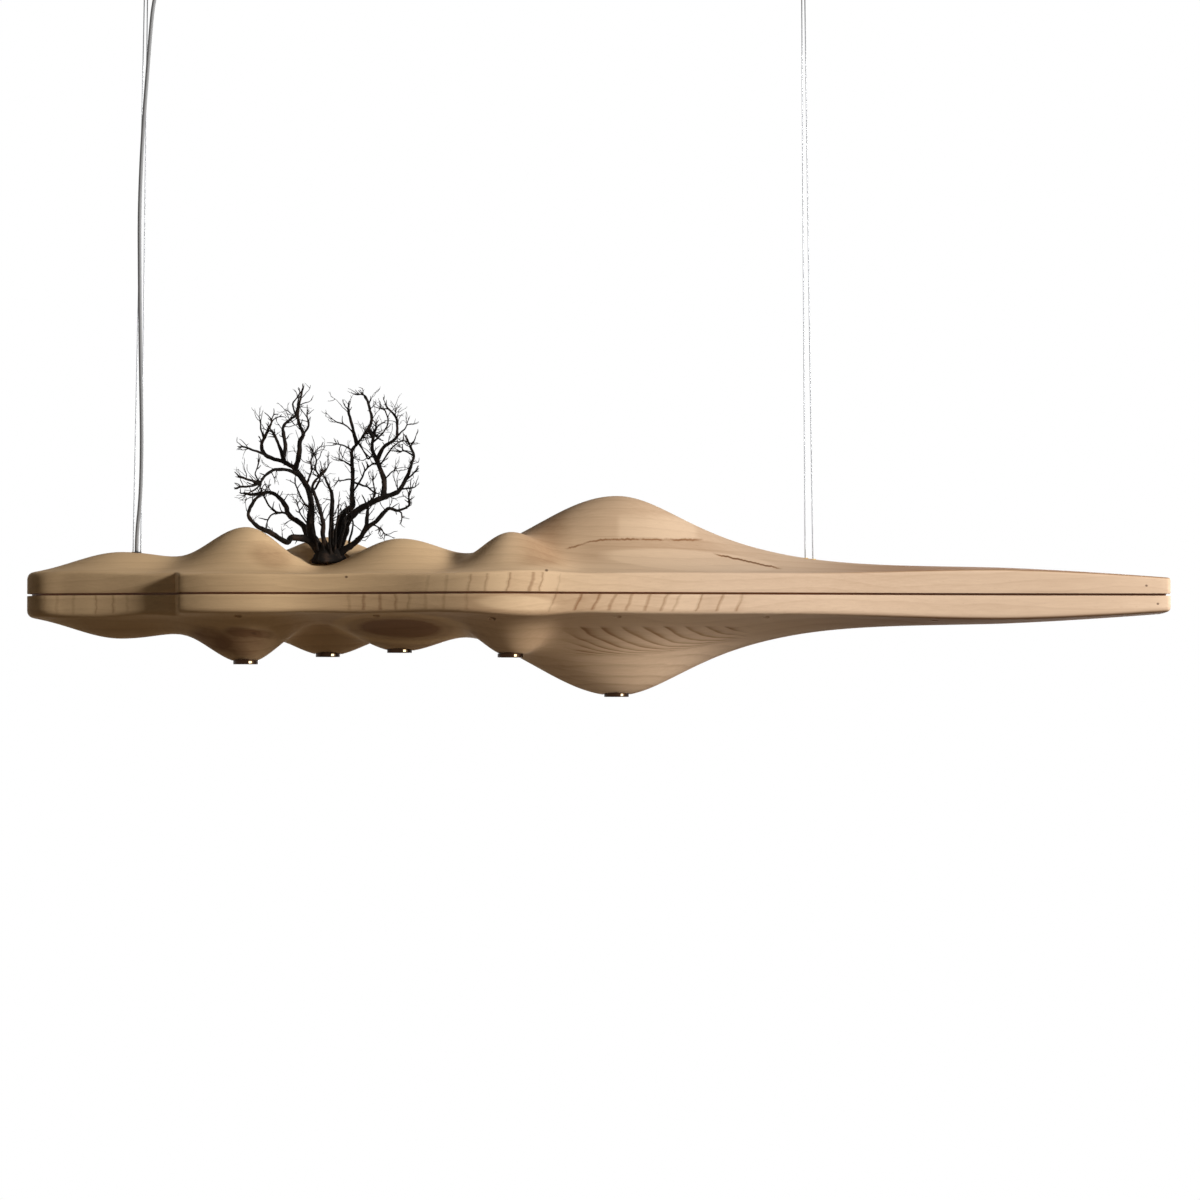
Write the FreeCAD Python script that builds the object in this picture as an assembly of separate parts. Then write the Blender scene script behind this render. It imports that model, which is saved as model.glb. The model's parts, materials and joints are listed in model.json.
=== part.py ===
import FreeCAD, Part
import math
import os

# Carved pendant light: a mountain range and its reflection, cut as two hollow ash halves that an
# aluminium plate holds a shadow gap apart. Two pairs of steel wires hang it from two ceiling cups.
# Millimetres. The origin is on the ceiling, midway between the cups. X runs along the lamp from its round
# west end to its thin tail, Y points to the back, Z points up.

Vector = FreeCAD.Vector
UP = Vector(0, 0, 1)

# Suspension
DROP = 880.0                # ceiling to the seam between the halves
HANGER_SPACING = 870.0      # from one ceiling cup to the other
WEST_LEAN = 10.3            # how far the west wires lean outwards on their way down
TAIL_LEAN = 7.0
BALANCE_Y = -13.25          # moves the body so that its weight hangs under the wires
WIRE_D = 1.5
WIRE_PAIR_TOP = 4.0
WIRE_PAIR_FOOT = 10.6
WIRE_GRIP = 10.0            # length of wire held in the ball's stem
RUN_GAP = 0.3               # between pieces that move against each other
FIT_GAP = 0.1               # around screws, inserts and other pieces that are fixed in a hole

# Ceiling brackets and cups
SCREW_PITCH = 66.0
SCREW_HOLE_D = 5.0
BRACKET_L = 84.0
BRACKET_W = 24.0
BRACKET_T = 3.0
CUP_D = 96.0
CUP_H = 46.0
CUP_WALL = 1.2
CUP_EDGE_R = 9.0
TERMINAL_L = 22.0
TERMINAL_W = 13.0
TERMINAL_H = 14.0

# Swivel balls and what holds them
BALL_D = 16.0
STEM_D = 9.0
STEM_DROP = 24.0            # from the ball's centre to the foot of its stem
SEAT_D = 21.0
SEAT_BORE_D = 8.0
SPIGOT_D = 10.0
CAP_D = 26.0
CAP_SLEEVE = 8.0
CAP_MOUTH_D = 13.0
CAP_LIP = 1.0
GRUB_D = 3.0

# Power cord
CORD_D = 5.0
CORD_OFFSET = 19.0          # from the west ball to the cord
CORD_ENTRY = (-443.0, -12.0)
GRIP_D = 9.6
GRIP_NECK_D = 8.0
GRIP_FLANGE = 2.0
GROMMET_D = 13.0
GROMMET_NECK_D = 8.8
GROMMET_FLANGE = 1.5
GROMMET_L = 14.0

# Carved body
WEST_END = -585.0
TAIL_END = 910.0
TAIL_HALF_W = 34.0
TAIL_CORNER_R = 7.0
BAND = 24.0                 # height of the edge above the seam plane
TAIL_RISE = 5.5
TAIL_RISE_FROM = 416.0
TAIL_RISE_OVER = 280.0
TAIL_FALL = 9.5
TAIL_FALL_FROM = 686.0
WALL = 16.0                 # wood left above the hollow, measured upright
RIM = 30.0                  # wood left around the hollow
GRID_STEP = 25.0            # spacing of the points that the carved surface passes through
GRID_MARGIN = 40.0

# Hills: centre X and Y, height above the band, reach to the west and tail sides, reach to the front and back
HILLS = {
    "west": (-462.0, 0.0, 33.0, 90.0, 122.0, 42.0, 62.0),
    "pine": (-297.0, -15.0, 65.0, 76.0, 66.0, 48.0, 66.0),
    "back": (-196.0, 58.0, 55.0, 84.0, 84.0, 46.0, 46.0),
    "round": (-96.0, -12.0, 50.0, 80.0, 97.0, 55.0, 74.0),
    "front": (50.0, -58.0, 55.0, 57.0, 62.0, 50.0, 60.0),
    "great": (188.0, 22.0, 108.0, 160.0, 139.0, 68.0, 80.0),
}
LAMP_HILLS = ("pine", "back", "round", "front", "great")

# Plan outline: the front edge runs from the step to the tail, the back edge from the tail round the west end
# to the notch, where the step comes forward
NOTCH = (-381.0, -78.0)
STEP = (-374.0, -98.0)
STEP_CORNER_R = 5.0
FRONT_EDGE = [(-346, -106), (-320, -110), (-294, -111.5), (-268, -111), (-243, -109), (-218, -107.3),
              (-193, -107.3), (-168, -108.8), (-142, -111.6), (-117, -115.6), (-90, -121), (-64, -127.5),
              (-37, -134), (-11, -139.3), (14, -142.3), (39, -142), (65, -138), (90, -131.5), (115, -125.8),
              (141, -121.5), (190, -114), (241, -107), (301, -99.5), (361, -92), (441, -80), (566, -60),
              (716, -46), (866, -38)]
BACK_EDGE = [(866, 40), (716, 48), (566, 64), (441, 92), (326, 136), (226, 166), (106, 168), (6, 152),
             (-94, 150), (-194, 142), (-284, 122), (-394, 92), (-474, 88), (-534, 74), (-569, 48),
             (WEST_END, 0), (-580, -24), (-566, -38), (-537, -46), (-508, -52), (-462, -61), (-425, -69),
             (-400, -74)]

# Spine plate
PLATE_T = 3.0
PLATE_INSET = 6.0
WIRE_HOLE_D = 2.8
# Windows that lighten the plate: centre X and Y, length and width
WINDOWS = [(-290, -40, 110, 70), (-100, -38, 150, 56), (-80, 85, 160, 60), (95, -82, 110, 56),
           (120, 110, 160, 60), (350, 0, 90, 80), (600, 0, 200, 36), (800, 0, 120, 24)]

# Screws that join the halves
SCREW_INSET = 20.0
JOIN_FRONT = (-300.0, -120.0, 30.0, 190.0, 380.0, 600.0)
JOIN_BACK = (820.0, 480.0, 300.0, 120.0, -60.0, -240.0, -430.0, -560.0)
PLATE_SCREW_FRONT = (-210.0, 110.0, 490.0)
PLATE_SCREW_BACK = (390.0, 30.0, -340.0)
JOIN_D = 4.0
JOIN_HEAD_D = 8.0
JOIN_HEAD_H = 3.0
JOIN_SEAT = 14.0            # wood from the seam plane to the screw head
COUNTERBORE_D = 9.5
JOIN_KEY = 3.0              # across the corners of the socket in the screw head
JOIN_KEY_DEPTH = 2.0
KEY_SIDES = 6
INSERT_D = 6.4
INSERT_L = 9.0
PLATE_SCREW_D = 3.5
PLATE_SCREW_HEAD_D = 7.0
PLATE_SCREW_L = 15.0
PLATE_SCREW_CONE = 2.0

# Wire bushings and stops
BUSH_D = 5.2
BUSH_BORE_D = 3.4
BUSH_FLANGE_D = 8.0
BUSH_FLANGE_T = 1.0
BUSH_L = 12.0
STOP_D = 5.2
STOP_L = 9.0
STOP_BORE_D = 2.4

# Lamps
RING_D = 33.0
RING_DROP = 5.0
LENS_POCKET_D = 24.0
LENS_SHOULDER = 1.0
LENS_T = 2.5
NECK_D = 27.6
NECK_BORE_D = 22.0
TIP_CUT = 3.5               # how far the hill's lower tip is cut flat
FLAT_MARGIN = 1.5
LAMP_WALL = 10.0            # wood clamped between the trim ring and the heat sink
SINK_D = 33.0
SINK_NUT = 8.0
SINK_CORE_D = 17.0
FIN_COUNT = 4
FIN_T = 2.0
FIN_GAP = 2.2
BOARD_D = 20.0
BOARD_T = 1.6
SPANNER_W = 6.0
SPANNER_ANGLE = -60.0       # direction of the spanner slot, 30 degrees to the right of the front
SPOT_MARGIN = 1.5

# Electrics on the plate
DRIVER_X = 190.0
DRIVER_Y = 22.0
DRIVER_L = 130.0
DRIVER_W = 46.0
DRIVER_H = 26.0
DRIVER_EAR = 10.0
DRIVER_EAR_T = 2.5
DRIVER_SCREW_D = 3.0
DRIVER_SCREW_HEAD_D = 6.0
DRIVER_SCREW_HEAD_H = 2.0
BLOCK_X = 100.0
BLOCK_L = 30.0
BLOCK_W = 64.0
BLOCK_H = 12.0
CLAMP_X = -290.0
CLAMP_Y = 30.0
CLAMP_L = 12.0
CLAMP_W = 26.0
CLAMP_H = 9.5
CLAMP_SCREW_Y = 9.0
LEAD_D = 4.0
LEAD_LEVEL = 7.0            # height of the leads' centre lines above or below the plate

# Dried branch
BRANCH_X = -190.0
BRANCH_Y = 4.0
SOCKET_LEVEL = 42.0         # flat seat of the branch above the seam plane
SOCKET_SEAT_R = 27.0
SOCKET_D = 12.0
SOCKET_L = 20.0
SOCKET_FLOOR = 2.0
SOCKET_PROUD = 0.6
PEG_D = 7.7
PEG_L = 16.0

# Derived places
PLATE_HALF = PLATE_T / 2
PIVOT_Z = -(CUP_H + CAP_SLEEVE)
STEM_FOOT_Z = PIVOT_Z - STEM_DROP
WEST_HANGER_X = -HANGER_SPACING / 2
TAIL_HANGER_X = HANGER_SPACING / 2
WEST_ANCHOR_X = WEST_HANGER_X - WEST_LEAN
TAIL_ANCHOR_X = TAIL_HANGER_X + TAIL_LEAN
CORD_EXIT_X = WEST_HANGER_X + CORD_OFFSET
ANCHOR_Y = -BALANCE_Y       # the wires' plane, seen from the body
TOP = BAND + TAIL_RISE + max(hill[2] for hill in HILLS.values()) + GRID_MARGIN    # clear of every hill

nodes = {}


# Small helpers

def rod(x, y, low, high, diameter):
    """Upright cylinder between two levels."""
    return Part.makeCylinder(diameter / 2, high - low, Vector(x, y, low))


def tube(x, y, low, high, outer, inner):
    return rod(x, y, low, high, outer).cut(rod(x, y, low, high, inner))


def block(x, y, low, high, length, width):
    """Upright box centred on x and y."""
    return Part.makeBox(length, width, high - low, Vector(x - length / 2, y - width / 2, low))


def slot(x, y, low, high, length, width):
    """Upright bar with round ends, which lie along the longer of its two sizes."""
    ahead = Vector(1, 0, 0) if length >= width else Vector(0, 1, 0)
    radius = min(length, width) / 2
    nose = ahead * radius
    side = ahead.cross(UP) * radius
    reach = ahead * (max(length, width) / 2 - radius)
    first = Vector(x, y, low) - reach
    last = Vector(x, y, low) + reach
    edges = [Part.LineSegment(first + side, last + side).toShape(),
             Part.Arc(last + side, last + nose, last - side).toShape(),
             Part.LineSegment(last - side, first - side).toShape(),
             Part.Arc(first - side, first - nose, first + side).toShape()]
    return Part.Face(Part.Wire(edges)).extrude(UP * (high - low))


def joined(shapes):
    """Several separate solids of one node."""
    return Part.makeCompound(shapes)


def body_place(shape):
    """Moves a piece drawn about the seam plane to its place under the ceiling."""
    moved = shape.copy()
    moved.translate(Vector(0, BALANCE_Y, -DROP))
    return moved


def cord_path(points, name):
    """Straight runs joined by the largest tangent arcs that the runs allow."""
    points = [Vector(*point) for point in points]
    edges = []
    start = points[0]
    radii = []
    for before, corner, after in zip(points, points[1:], points[2:]):
        back = before - corner
        ahead = after - corner
        reach = 0.45 * min(back.Length, ahead.Length)
        turn = math.pi - back.getAngle(ahead)
        radius = reach / math.tan(turn / 2)
        radii.append(radius)
        enter = corner + back.normalize() * reach
        leave = corner + ahead.normalize() * reach
        inward = (back + ahead).normalize()
        middle = corner + inward * (radius / math.cos(turn / 2) - radius)
        edges.append(Part.LineSegment(start, enter).toShape())
        edges.append(Part.Arc(enter, middle, leave).toShape())
        start = leave
    edges.append(Part.LineSegment(start, points[-1]).toShape())
    print(name, "bend radii", [round(radius) for radius in radii])
    return Part.Wire(edges)


def cord_solid(points, diameter, name):
    path = cord_path(points, name)
    along = Vector(*points[1]) - Vector(*points[0])
    section = Part.Wire(Part.makeCircle(diameter / 2, Vector(*points[0]), along))
    solid = path.makePipeShell([section], True, False)
    expected = math.pi * diameter ** 2 / 4 * path.Length
    print(name, "length", round(path.Length, 1), "volume ratio", round(solid.Volume / expected, 4))
    return solid


# Carved landscape

def ease(share):
    share = min(max(share, 0.0), 1.0)
    return share * share * (3 - 2 * share)


def band_height(x):
    """Height of the edge, which swells a little along the tail and drops at its end."""
    rise = TAIL_RISE * ease((x - TAIL_RISE_FROM) / TAIL_RISE_OVER)
    fall = max((x - TAIL_FALL_FROM) / (TAIL_END - TAIL_FALL_FROM), 0.0)
    return BAND + rise - TAIL_FALL * fall ** 1.6


def hill_height(name, x, y):
    centre_x, centre_y, height, west, tail, front, back = HILLS[name]
    along = (x - centre_x) / (west if x < centre_x else tail)
    across = (y - centre_y) / (front if y < centre_y else back)
    if name == "great" and x > centre_x:
        profile = 1 / (1 + along ** 2)
    else:
        profile = math.exp(-along ** 2)
    return height * profile * math.exp(-across ** 2)


def land_height(x, y):
    """Height of the carved surface above the seam plane."""
    return band_height(x) + math.sqrt(sum(hill_height(name, x, y) ** 2 for name in HILLS))


def lowest_near(x, y, radius):
    """Lowest carved height on a small circle, for a seat that is cut flat."""
    return min(land_height(x + radius * math.cos(turn), y + radius * math.sin(turn))
               for turn in (step * math.pi / 4 for step in range(8)))


def outline_points():
    tail = [(TAIL_END, -TAIL_HALF_W), (TAIL_END, TAIL_HALF_W)]
    return [STEP] + FRONT_EDGE + tail + BACK_EDGE + [NOTCH]


def inset_outline(inset):
    """Closed plan outline, moved inwards; its corners are the ends of the step and of the tail's face."""
    points = [Vector(x, y, 0) for x, y in outline_points()]
    count = len(points)
    moved = []
    for index, point in enumerate(points):
        arrive = (point - points[index - 1]).normalize()
        leave = (points[(index + 1) % count] - point).normalize()
        inward = (UP.cross(arrive) + UP.cross(leave)).normalize()
        stretch = 1 / max(inward.dot(UP.cross(leave)), 0.6)
        moved.append(point + inward * inset * stretch)
    front_end = len(FRONT_EDGE) + 1
    front = Part.BSplineCurve()
    front.interpolate(moved[:front_end + 1])
    back = Part.BSplineCurve()
    back.interpolate(moved[front_end + 1:])
    end_face = Part.LineSegment(moved[front_end], moved[front_end + 1])
    step_face = Part.LineSegment(moved[-1], moved[0])
    return Part.Wire([curve.toShape() for curve in (front, end_face, back, step_face)])


def outline_prism(inset, low, high):
    wire = inset_outline(inset)
    wire.translate(Vector(0, 0, low))
    return Part.Face(wire).extrude(UP * (high - low))


def air_above(depth):
    """Everything above the carved surface, lowered by a depth."""
    points = outline_points()
    low_x = WEST_END - GRID_MARGIN
    low_y = min(y for x, y in points) - GRID_MARGIN
    high_y = max(y for x, y in points) + GRID_MARGIN
    columns = math.ceil((TAIL_END + GRID_MARGIN - low_x) / GRID_STEP)
    rows = math.ceil((high_y - low_y) / GRID_STEP)
    grid = [[Vector(x, y, land_height(x, y) - depth)
             for y in (low_y + row * GRID_STEP for row in range(rows + 1))]
            for x in (low_x + column * GRID_STEP for column in range(columns + 1))]
    surface = Part.BSplineSurface()
    surface.interpolate(grid)
    return surface.toShape().extrude(UP * 2 * TOP)


def upright_edge(prism, x, y):
    """The edge of a prism that stands nearest to a place in plan."""
    upright = [edge for edge in prism.Edges if edge.BoundBox.ZLength > TOP / 2]
    return min(upright, key=lambda edge: edge.CenterOfMass.distanceToPoint(Vector(x, y, edge.CenterOfMass.z)))


def carved_shell():
    """Upper half before its holes: carved outside, hollow from the seam, with a solid rim."""
    blank = outline_prism(0, PLATE_HALF, TOP)
    tail_corners = [upright_edge(blank, TAIL_END, side * TAIL_HALF_W) for side in (-1, 1)]
    blank = blank.makeFillet(TAIL_CORNER_R, tail_corners)
    blank = blank.makeFillet(STEP_CORNER_R, [upright_edge(blank, *STEP)])
    hollow = outline_prism(RIM, 0, TOP).cut(air_above(WALL))
    return blank.cut(air_above(0)).cut(hollow)


def rim_point(x, side):
    """Point on the screw line around the rim, on the front (-1) or the back (1)."""
    line = inset_outline(SCREW_INSET).discretize(600)
    near = [point for point in line if side * point.y > 0]
    return min(near, key=lambda point: abs(point.x - x))


def join_points():
    return [rim_point(x, -1) for x in JOIN_FRONT] + [rim_point(x, 1) for x in JOIN_BACK]


def plate_screw_points():
    return [rim_point(x, -1) for x in PLATE_SCREW_FRONT] + [rim_point(x, 1) for x in PLATE_SCREW_BACK]


# Places of the wires

def wire_ends():
    """Top and foot of each wire in the ceiling frame, by node name."""
    top_z = STEM_FOOT_Z + WIRE_GRIP
    foot_z = -DROP - PLATE_HALF - STOP_L
    ends = {}
    for end, hanger_x, anchor_x in (("west", WEST_HANGER_X, WEST_ANCHOR_X),
                                    ("tail", TAIL_HANGER_X, TAIL_ANCHOR_X)):
        for side, sign in (("a", -1), ("b", 1)):
            top = Vector(hanger_x + sign * WIRE_PAIR_TOP / 2, 0, top_z)
            foot = Vector(anchor_x + sign * WIRE_PAIR_FOOT / 2, 0, foot_z)
            ends[f"{end}_wire_{side}"] = (top, foot)
    return ends


def wire_x_at(ends, seam_z):
    """X of a wire at a level above the seam plane."""
    top, foot = ends
    share = (seam_z - DROP - foot.z) / (top.z - foot.z)
    return foot.x + (top.x - foot.x) * share


def bushes():
    """Centre X and flat seat level of each wire bushing, in the body's frame."""
    places = []
    for ends in wire_ends().values():
        rough_x = wire_x_at(ends, BAND)
        seat = lowest_near(rough_x, ANCHOR_Y, BUSH_FLANGE_D / 2)
        places.append((wire_x_at(ends, seat - BUSH_L / 2), seat))
    return places


def grommet_place():
    x = CORD_ENTRY[0]
    y = CORD_ENTRY[1] - BALANCE_Y
    return x, y, lowest_near(x, y, GROMMET_D / 2)


def lamps():
    """Centre, outer flat level and inner flat level of each lamp, below the seam plane."""
    places = []
    for name in LAMP_HILLS:
        x, y = HILLS[name][:2]
        flat = -(land_height(x, y) - TIP_CUT)
        places.append((x, y, flat, flat + LAMP_WALL))
    return places


# Ceiling pieces

def make_bracket(x):
    strip = slot(x, 0, -BRACKET_T, 0, BRACKET_W, BRACKET_L)
    holes = [rod(x, sign * SCREW_PITCH / 2, -BRACKET_T, 0, SCREW_HOLE_D) for sign in (-1, 1)]
    holes.append(rod(x, 0, -BRACKET_T, 0, SPIGOT_D + 2 * FIT_GAP))
    return strip.cut(holes)


def make_cup(x):
    radius = CUP_D / 2
    outer = rod(x, 0, -CUP_H, 0, CUP_D)
    foot = [edge for edge in outer.Edges if abs(edge.CenterOfMass.z + CUP_H) < 0.01]
    outer = outer.makeFillet(CUP_EDGE_R, foot)
    inner = rod(x, 0, -CUP_H + CUP_WALL, 0, 2 * (radius - CUP_WALL))
    inner_foot = [edge for edge in inner.Edges if abs(edge.CenterOfMass.z + CUP_H - CUP_WALL) < 0.01]
    inner = inner.makeFillet(CUP_EDGE_R - CUP_WALL, inner_foot)
    return outer.cut(inner).cut(rod(x, 0, -CUP_H, 0, SEAT_D + 2 * FIT_GAP))


def socket_ball(x):
    return Part.makeSphere(BALL_D / 2 + RUN_GAP, Vector(x, 0, PIVOT_Z))


def make_seat(x):
    seat = rod(x, 0, PIVOT_Z, -BRACKET_T, SEAT_D).fuse(rod(x, 0, -BRACKET_T, 0, SPIGOT_D))
    return seat.cut(rod(x, 0, PIVOT_Z, 0, SEAT_BORE_D)).cut(socket_ball(x)).removeSplitter()


def make_cap(x):
    mouth_drop = math.sqrt((BALL_D / 2 + RUN_GAP) ** 2 - (CAP_MOUTH_D / 2) ** 2)
    low = PIVOT_Z - mouth_drop - CAP_LIP
    cap = rod(x, 0, low, PIVOT_Z + CAP_SLEEVE, CAP_D)
    cap = cap.cut(rod(x, 0, PIVOT_Z, PIVOT_Z + CAP_SLEEVE, SEAT_D + 2 * FIT_GAP))
    return cap.cut(socket_ball(x)).cut(rod(x, 0, low, PIVOT_Z, CAP_MOUTH_D))


def make_ball(x, wires):
    ball = Part.makeSphere(BALL_D / 2, Vector(x, 0, PIVOT_Z))
    ball = ball.fuse(rod(x, 0, STEM_FOOT_Z, PIVOT_Z, STEM_D)).removeSplitter()
    for top, foot in wires:
        ball = ball.cut(Part.makeCylinder(WIRE_D / 2 + FIT_GAP, (foot - top).Length, top, foot - top))
    hole_depth = (STEM_D - WIRE_PAIR_TOP) / 2
    return ball.cut([grub_rod(x, sign, GRUB_D + 2 * FIT_GAP, hole_depth) for sign in (-1, 1)])


def grub_rod(x, sign, diameter, length):
    """Set screw or its hole across the stem, from its side towards the wire."""
    start = Vector(x + sign * STEM_D / 2, 0, STEM_FOOT_Z + WIRE_GRIP / 2)
    return Part.makeCylinder(diameter / 2, length, start, Vector(-sign, 0, 0))


def make_ceiling():
    for end, x in (("west", WEST_HANGER_X), ("tail", TAIL_HANGER_X)):
        nodes[f"{end}_ceiling_bracket"] = make_bracket(x)
        nodes[f"{end}_ceiling_cup"] = make_cup(x)
        nodes[f"{end}_ball_seat"] = make_seat(x)
        nodes[f"{end}_ball_cap"] = make_cap(x)
    inner_floor = -CUP_H + CUP_WALL
    grip = rod(CORD_EXIT_X, 0, inner_floor, inner_floor + GRIP_FLANGE, GRIP_D)
    grip = grip.fuse(rod(CORD_EXIT_X, 0, -CUP_H, inner_floor, GRIP_NECK_D))
    grip = grip.fuse(rod(CORD_EXIT_X, 0, PIVOT_Z, -CUP_H, GRIP_D)).removeSplitter()
    nodes["cord_grip"] = grip.cut(rod(CORD_EXIT_X, 0, PIVOT_Z, 0, CORD_D + 2 * FIT_GAP))
    cup = nodes["west_ceiling_cup"]
    nodes["west_ceiling_cup"] = cup.cut(rod(CORD_EXIT_X, 0, -CUP_H, 0, GRIP_NECK_D + 2 * FIT_GAP))
    terminal_y = (SEAT_D + TERMINAL_W) / 2 + RUN_GAP
    nodes["mains_terminal"] = block(WEST_HANGER_X, terminal_y, -BRACKET_T - TERMINAL_H, -BRACKET_T,
                                    TERMINAL_L, TERMINAL_W)


def make_hanging_line():
    ends = wire_ends()
    for name, (top, foot) in ends.items():
        nodes[name] = Part.makeCylinder(WIRE_D / 2, (foot - top).Length, top, foot - top)
    grubs = []
    grub_length = (STEM_D - WIRE_PAIR_TOP - WIRE_D) / 2 - 2 * FIT_GAP
    for end, x in (("west", WEST_HANGER_X), ("tail", TAIL_HANGER_X)):
        nodes[f"{end}_swivel_ball"] = make_ball(x, [ends[f"{end}_wire_a"], ends[f"{end}_wire_b"]])
        grubs += [grub_rod(x, sign, GRUB_D, grub_length) for sign in (-1, 1)]
    nodes["wire_grub_screws"] = joined(grubs)
    x, y, seat = grommet_place()
    foot_z = seat + GROMMET_FLANGE - DROP
    foot_y = CORD_ENTRY[1]
    # The cord hangs slack beside the west wires
    route = [(CORD_EXIT_X, 0, PIVOT_Z - RUN_GAP), (-424.5, -3, -92), (-428.0, -5.5, -132), (-431.8, -8, -190),
             (-436.2, -10.5, -255), (-439.3, -12, -318), (-440.9, -13, -385), (-440.2, -13.4, -450),
             (-439.4, -13.2, -520), (-438.2, -12.8, -590), (-437.0, -12.4, -650), (-436.8, -12.1, -704),
             (-438.4, -11.9, -756), (x, foot_y, -800), (x, foot_y, foot_z)]
    nodes["power_cord"] = cord_solid(route, CORD_D, "power_cord")


# Carved halves and the plate

def make_halves():
    shell = carved_shell()
    seats = []
    bores = []
    for x, seat in bushes():
        seats.append(rod(x, ANCHOR_Y, seat, TOP, BUSH_FLANGE_D + 2 * FIT_GAP))
        bores.append(rod(x, ANCHOR_Y, 0, seat, BUSH_D + 2 * FIT_GAP))
    x, y, seat = grommet_place()
    seats.append(rod(x, y, seat, TOP, GROMMET_D + 2 * FIT_GAP))
    bores.append(rod(x, y, 0, seat, GROMMET_NECK_D + 2 * FIT_GAP))
    seats.append(rod(BRANCH_X, BRANCH_Y, SOCKET_LEVEL, TOP, 2 * SOCKET_SEAT_R))
    socket_foot = SOCKET_LEVEL + SOCKET_PROUD - SOCKET_L
    bores.append(rod(BRANCH_X, BRANCH_Y, socket_foot, SOCKET_LEVEL, SOCKET_D + 2 * FIT_GAP))
    bores += [rod(p.x, p.y, 0, PLATE_HALF + INSERT_L + FIT_GAP, INSERT_D + 2 * FIT_GAP) for p in join_points()]
    bores += [rod(p.x, p.y, 0, PLATE_SCREW_L, PLATE_SCREW_D + 2 * FIT_GAP) for p in plate_screw_points()]
    nodes["upper_half"] = body_place(shell.cut(seats).cut(bores))

    flats = []
    holes = []
    spots = []
    for x, y, flat, inner in lamps():
        flats.append(rod(x, y, -TOP, flat, RING_D + 2 * FLAT_MARGIN))
        holes.append(rod(x, y, flat, inner, NECK_D + 2 * FIT_GAP))
        spots.append(rod(x, y, inner, inner + WALL, SINK_D + 2 * SPOT_MARGIN))
    for p in join_points():
        flats.append(rod(p.x, p.y, -TOP, -JOIN_SEAT, COUNTERBORE_D))
        holes.append(rod(p.x, p.y, -JOIN_SEAT, 0, JOIN_D + 2 * FIT_GAP))
    mirrored = shell.mirror(Vector(0, 0, 0), UP)
    nodes["lower_half"] = body_place(mirrored.cut(flats).cut(holes).cut(spots))


def plate_cone(p):
    """Countersunk head, flush with the underside of the plate."""
    return Part.makeCone(PLATE_SCREW_HEAD_D / 2, PLATE_SCREW_D / 2, PLATE_SCREW_CONE,
                         Vector(p.x, p.y, -PLATE_HALF))


def make_plate():
    plate = outline_prism(PLATE_INSET, -PLATE_HALF, PLATE_HALF)
    cuts = [slot(x, y, -PLATE_HALF, PLATE_HALF, length, width) for x, y, length, width in WINDOWS]
    cuts += [rod(p.x, p.y, -PLATE_HALF, PLATE_HALF, JOIN_D + 2 * FIT_GAP) for p in join_points()]
    for p in plate_screw_points():
        cuts.append(rod(p.x, p.y, -PLATE_HALF, PLATE_HALF, PLATE_SCREW_D))
        cuts.append(plate_cone(p))
    cuts += [rod(wire_x_at(ends, 0), ANCHOR_Y, -PLATE_HALF, PLATE_HALF, WIRE_HOLE_D)
             for ends in wire_ends().values()]
    cuts += [rod(x, y, -PLATE_HALF, PLATE_HALF, DRIVER_SCREW_D) for x, y in driver_screw_points()]
    cuts += [rod(CLAMP_X, y, -PLATE_HALF, PLATE_HALF, DRIVER_SCREW_D) for y in clamp_screw_ys()]
    nodes["spine_plate"] = body_place(plate.cut(cuts))


def make_fasteners():
    joins = []
    inserts = []
    for p in join_points():
        foot = Vector(p.x, p.y, -JOIN_SEAT - JOIN_HEAD_H)
        screw = rod(p.x, p.y, foot.z, -JOIN_SEAT, JOIN_HEAD_D)
        screw = screw.fuse(rod(p.x, p.y, -JOIN_SEAT, PLATE_HALF + INSERT_L, JOIN_D)).removeSplitter()
        key = Part.Face(polygon(foot, UP, JOIN_KEY / 2, JOIN_KEY / 2, KEY_SIDES)).extrude(UP * JOIN_KEY_DEPTH)
        joins.append(screw.cut(key))
        inserts.append(tube(p.x, p.y, PLATE_HALF, PLATE_HALF + INSERT_L, INSERT_D, JOIN_D + FIT_GAP))
    nodes["joining_screws"] = body_place(joined(joins))
    nodes["threaded_inserts"] = body_place(joined(inserts))
    plate_screws = []
    for p in plate_screw_points():
        shank = rod(p.x, p.y, -PLATE_HALF + PLATE_SCREW_CONE, PLATE_SCREW_L - FIT_GAP, PLATE_SCREW_D)
        plate_screws.append(plate_cone(p).fuse(shank).removeSplitter())
    nodes["plate_screws"] = body_place(joined(plate_screws))


def make_wire_fittings():
    bushings = []
    for x, seat in bushes():
        flange = rod(x, ANCHOR_Y, seat, seat + BUSH_FLANGE_T, BUSH_FLANGE_D)
        bushing = flange.fuse(rod(x, ANCHOR_Y, seat - BUSH_L, seat, BUSH_D)).removeSplitter()
        bushings.append(bushing.cut(rod(x, ANCHOR_Y, 0, TOP, BUSH_BORE_D)))
    nodes["wire_bushings"] = body_place(joined(bushings))
    stops = []
    for ends in wire_ends().values():
        x = wire_x_at(ends, -PLATE_HALF - STOP_L / 2)
        stops.append(tube(x, ANCHOR_Y, -PLATE_HALF - STOP_L, -PLATE_HALF, STOP_D, STOP_BORE_D))
    nodes["wire_stops"] = body_place(joined(stops))


# Lamps

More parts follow.
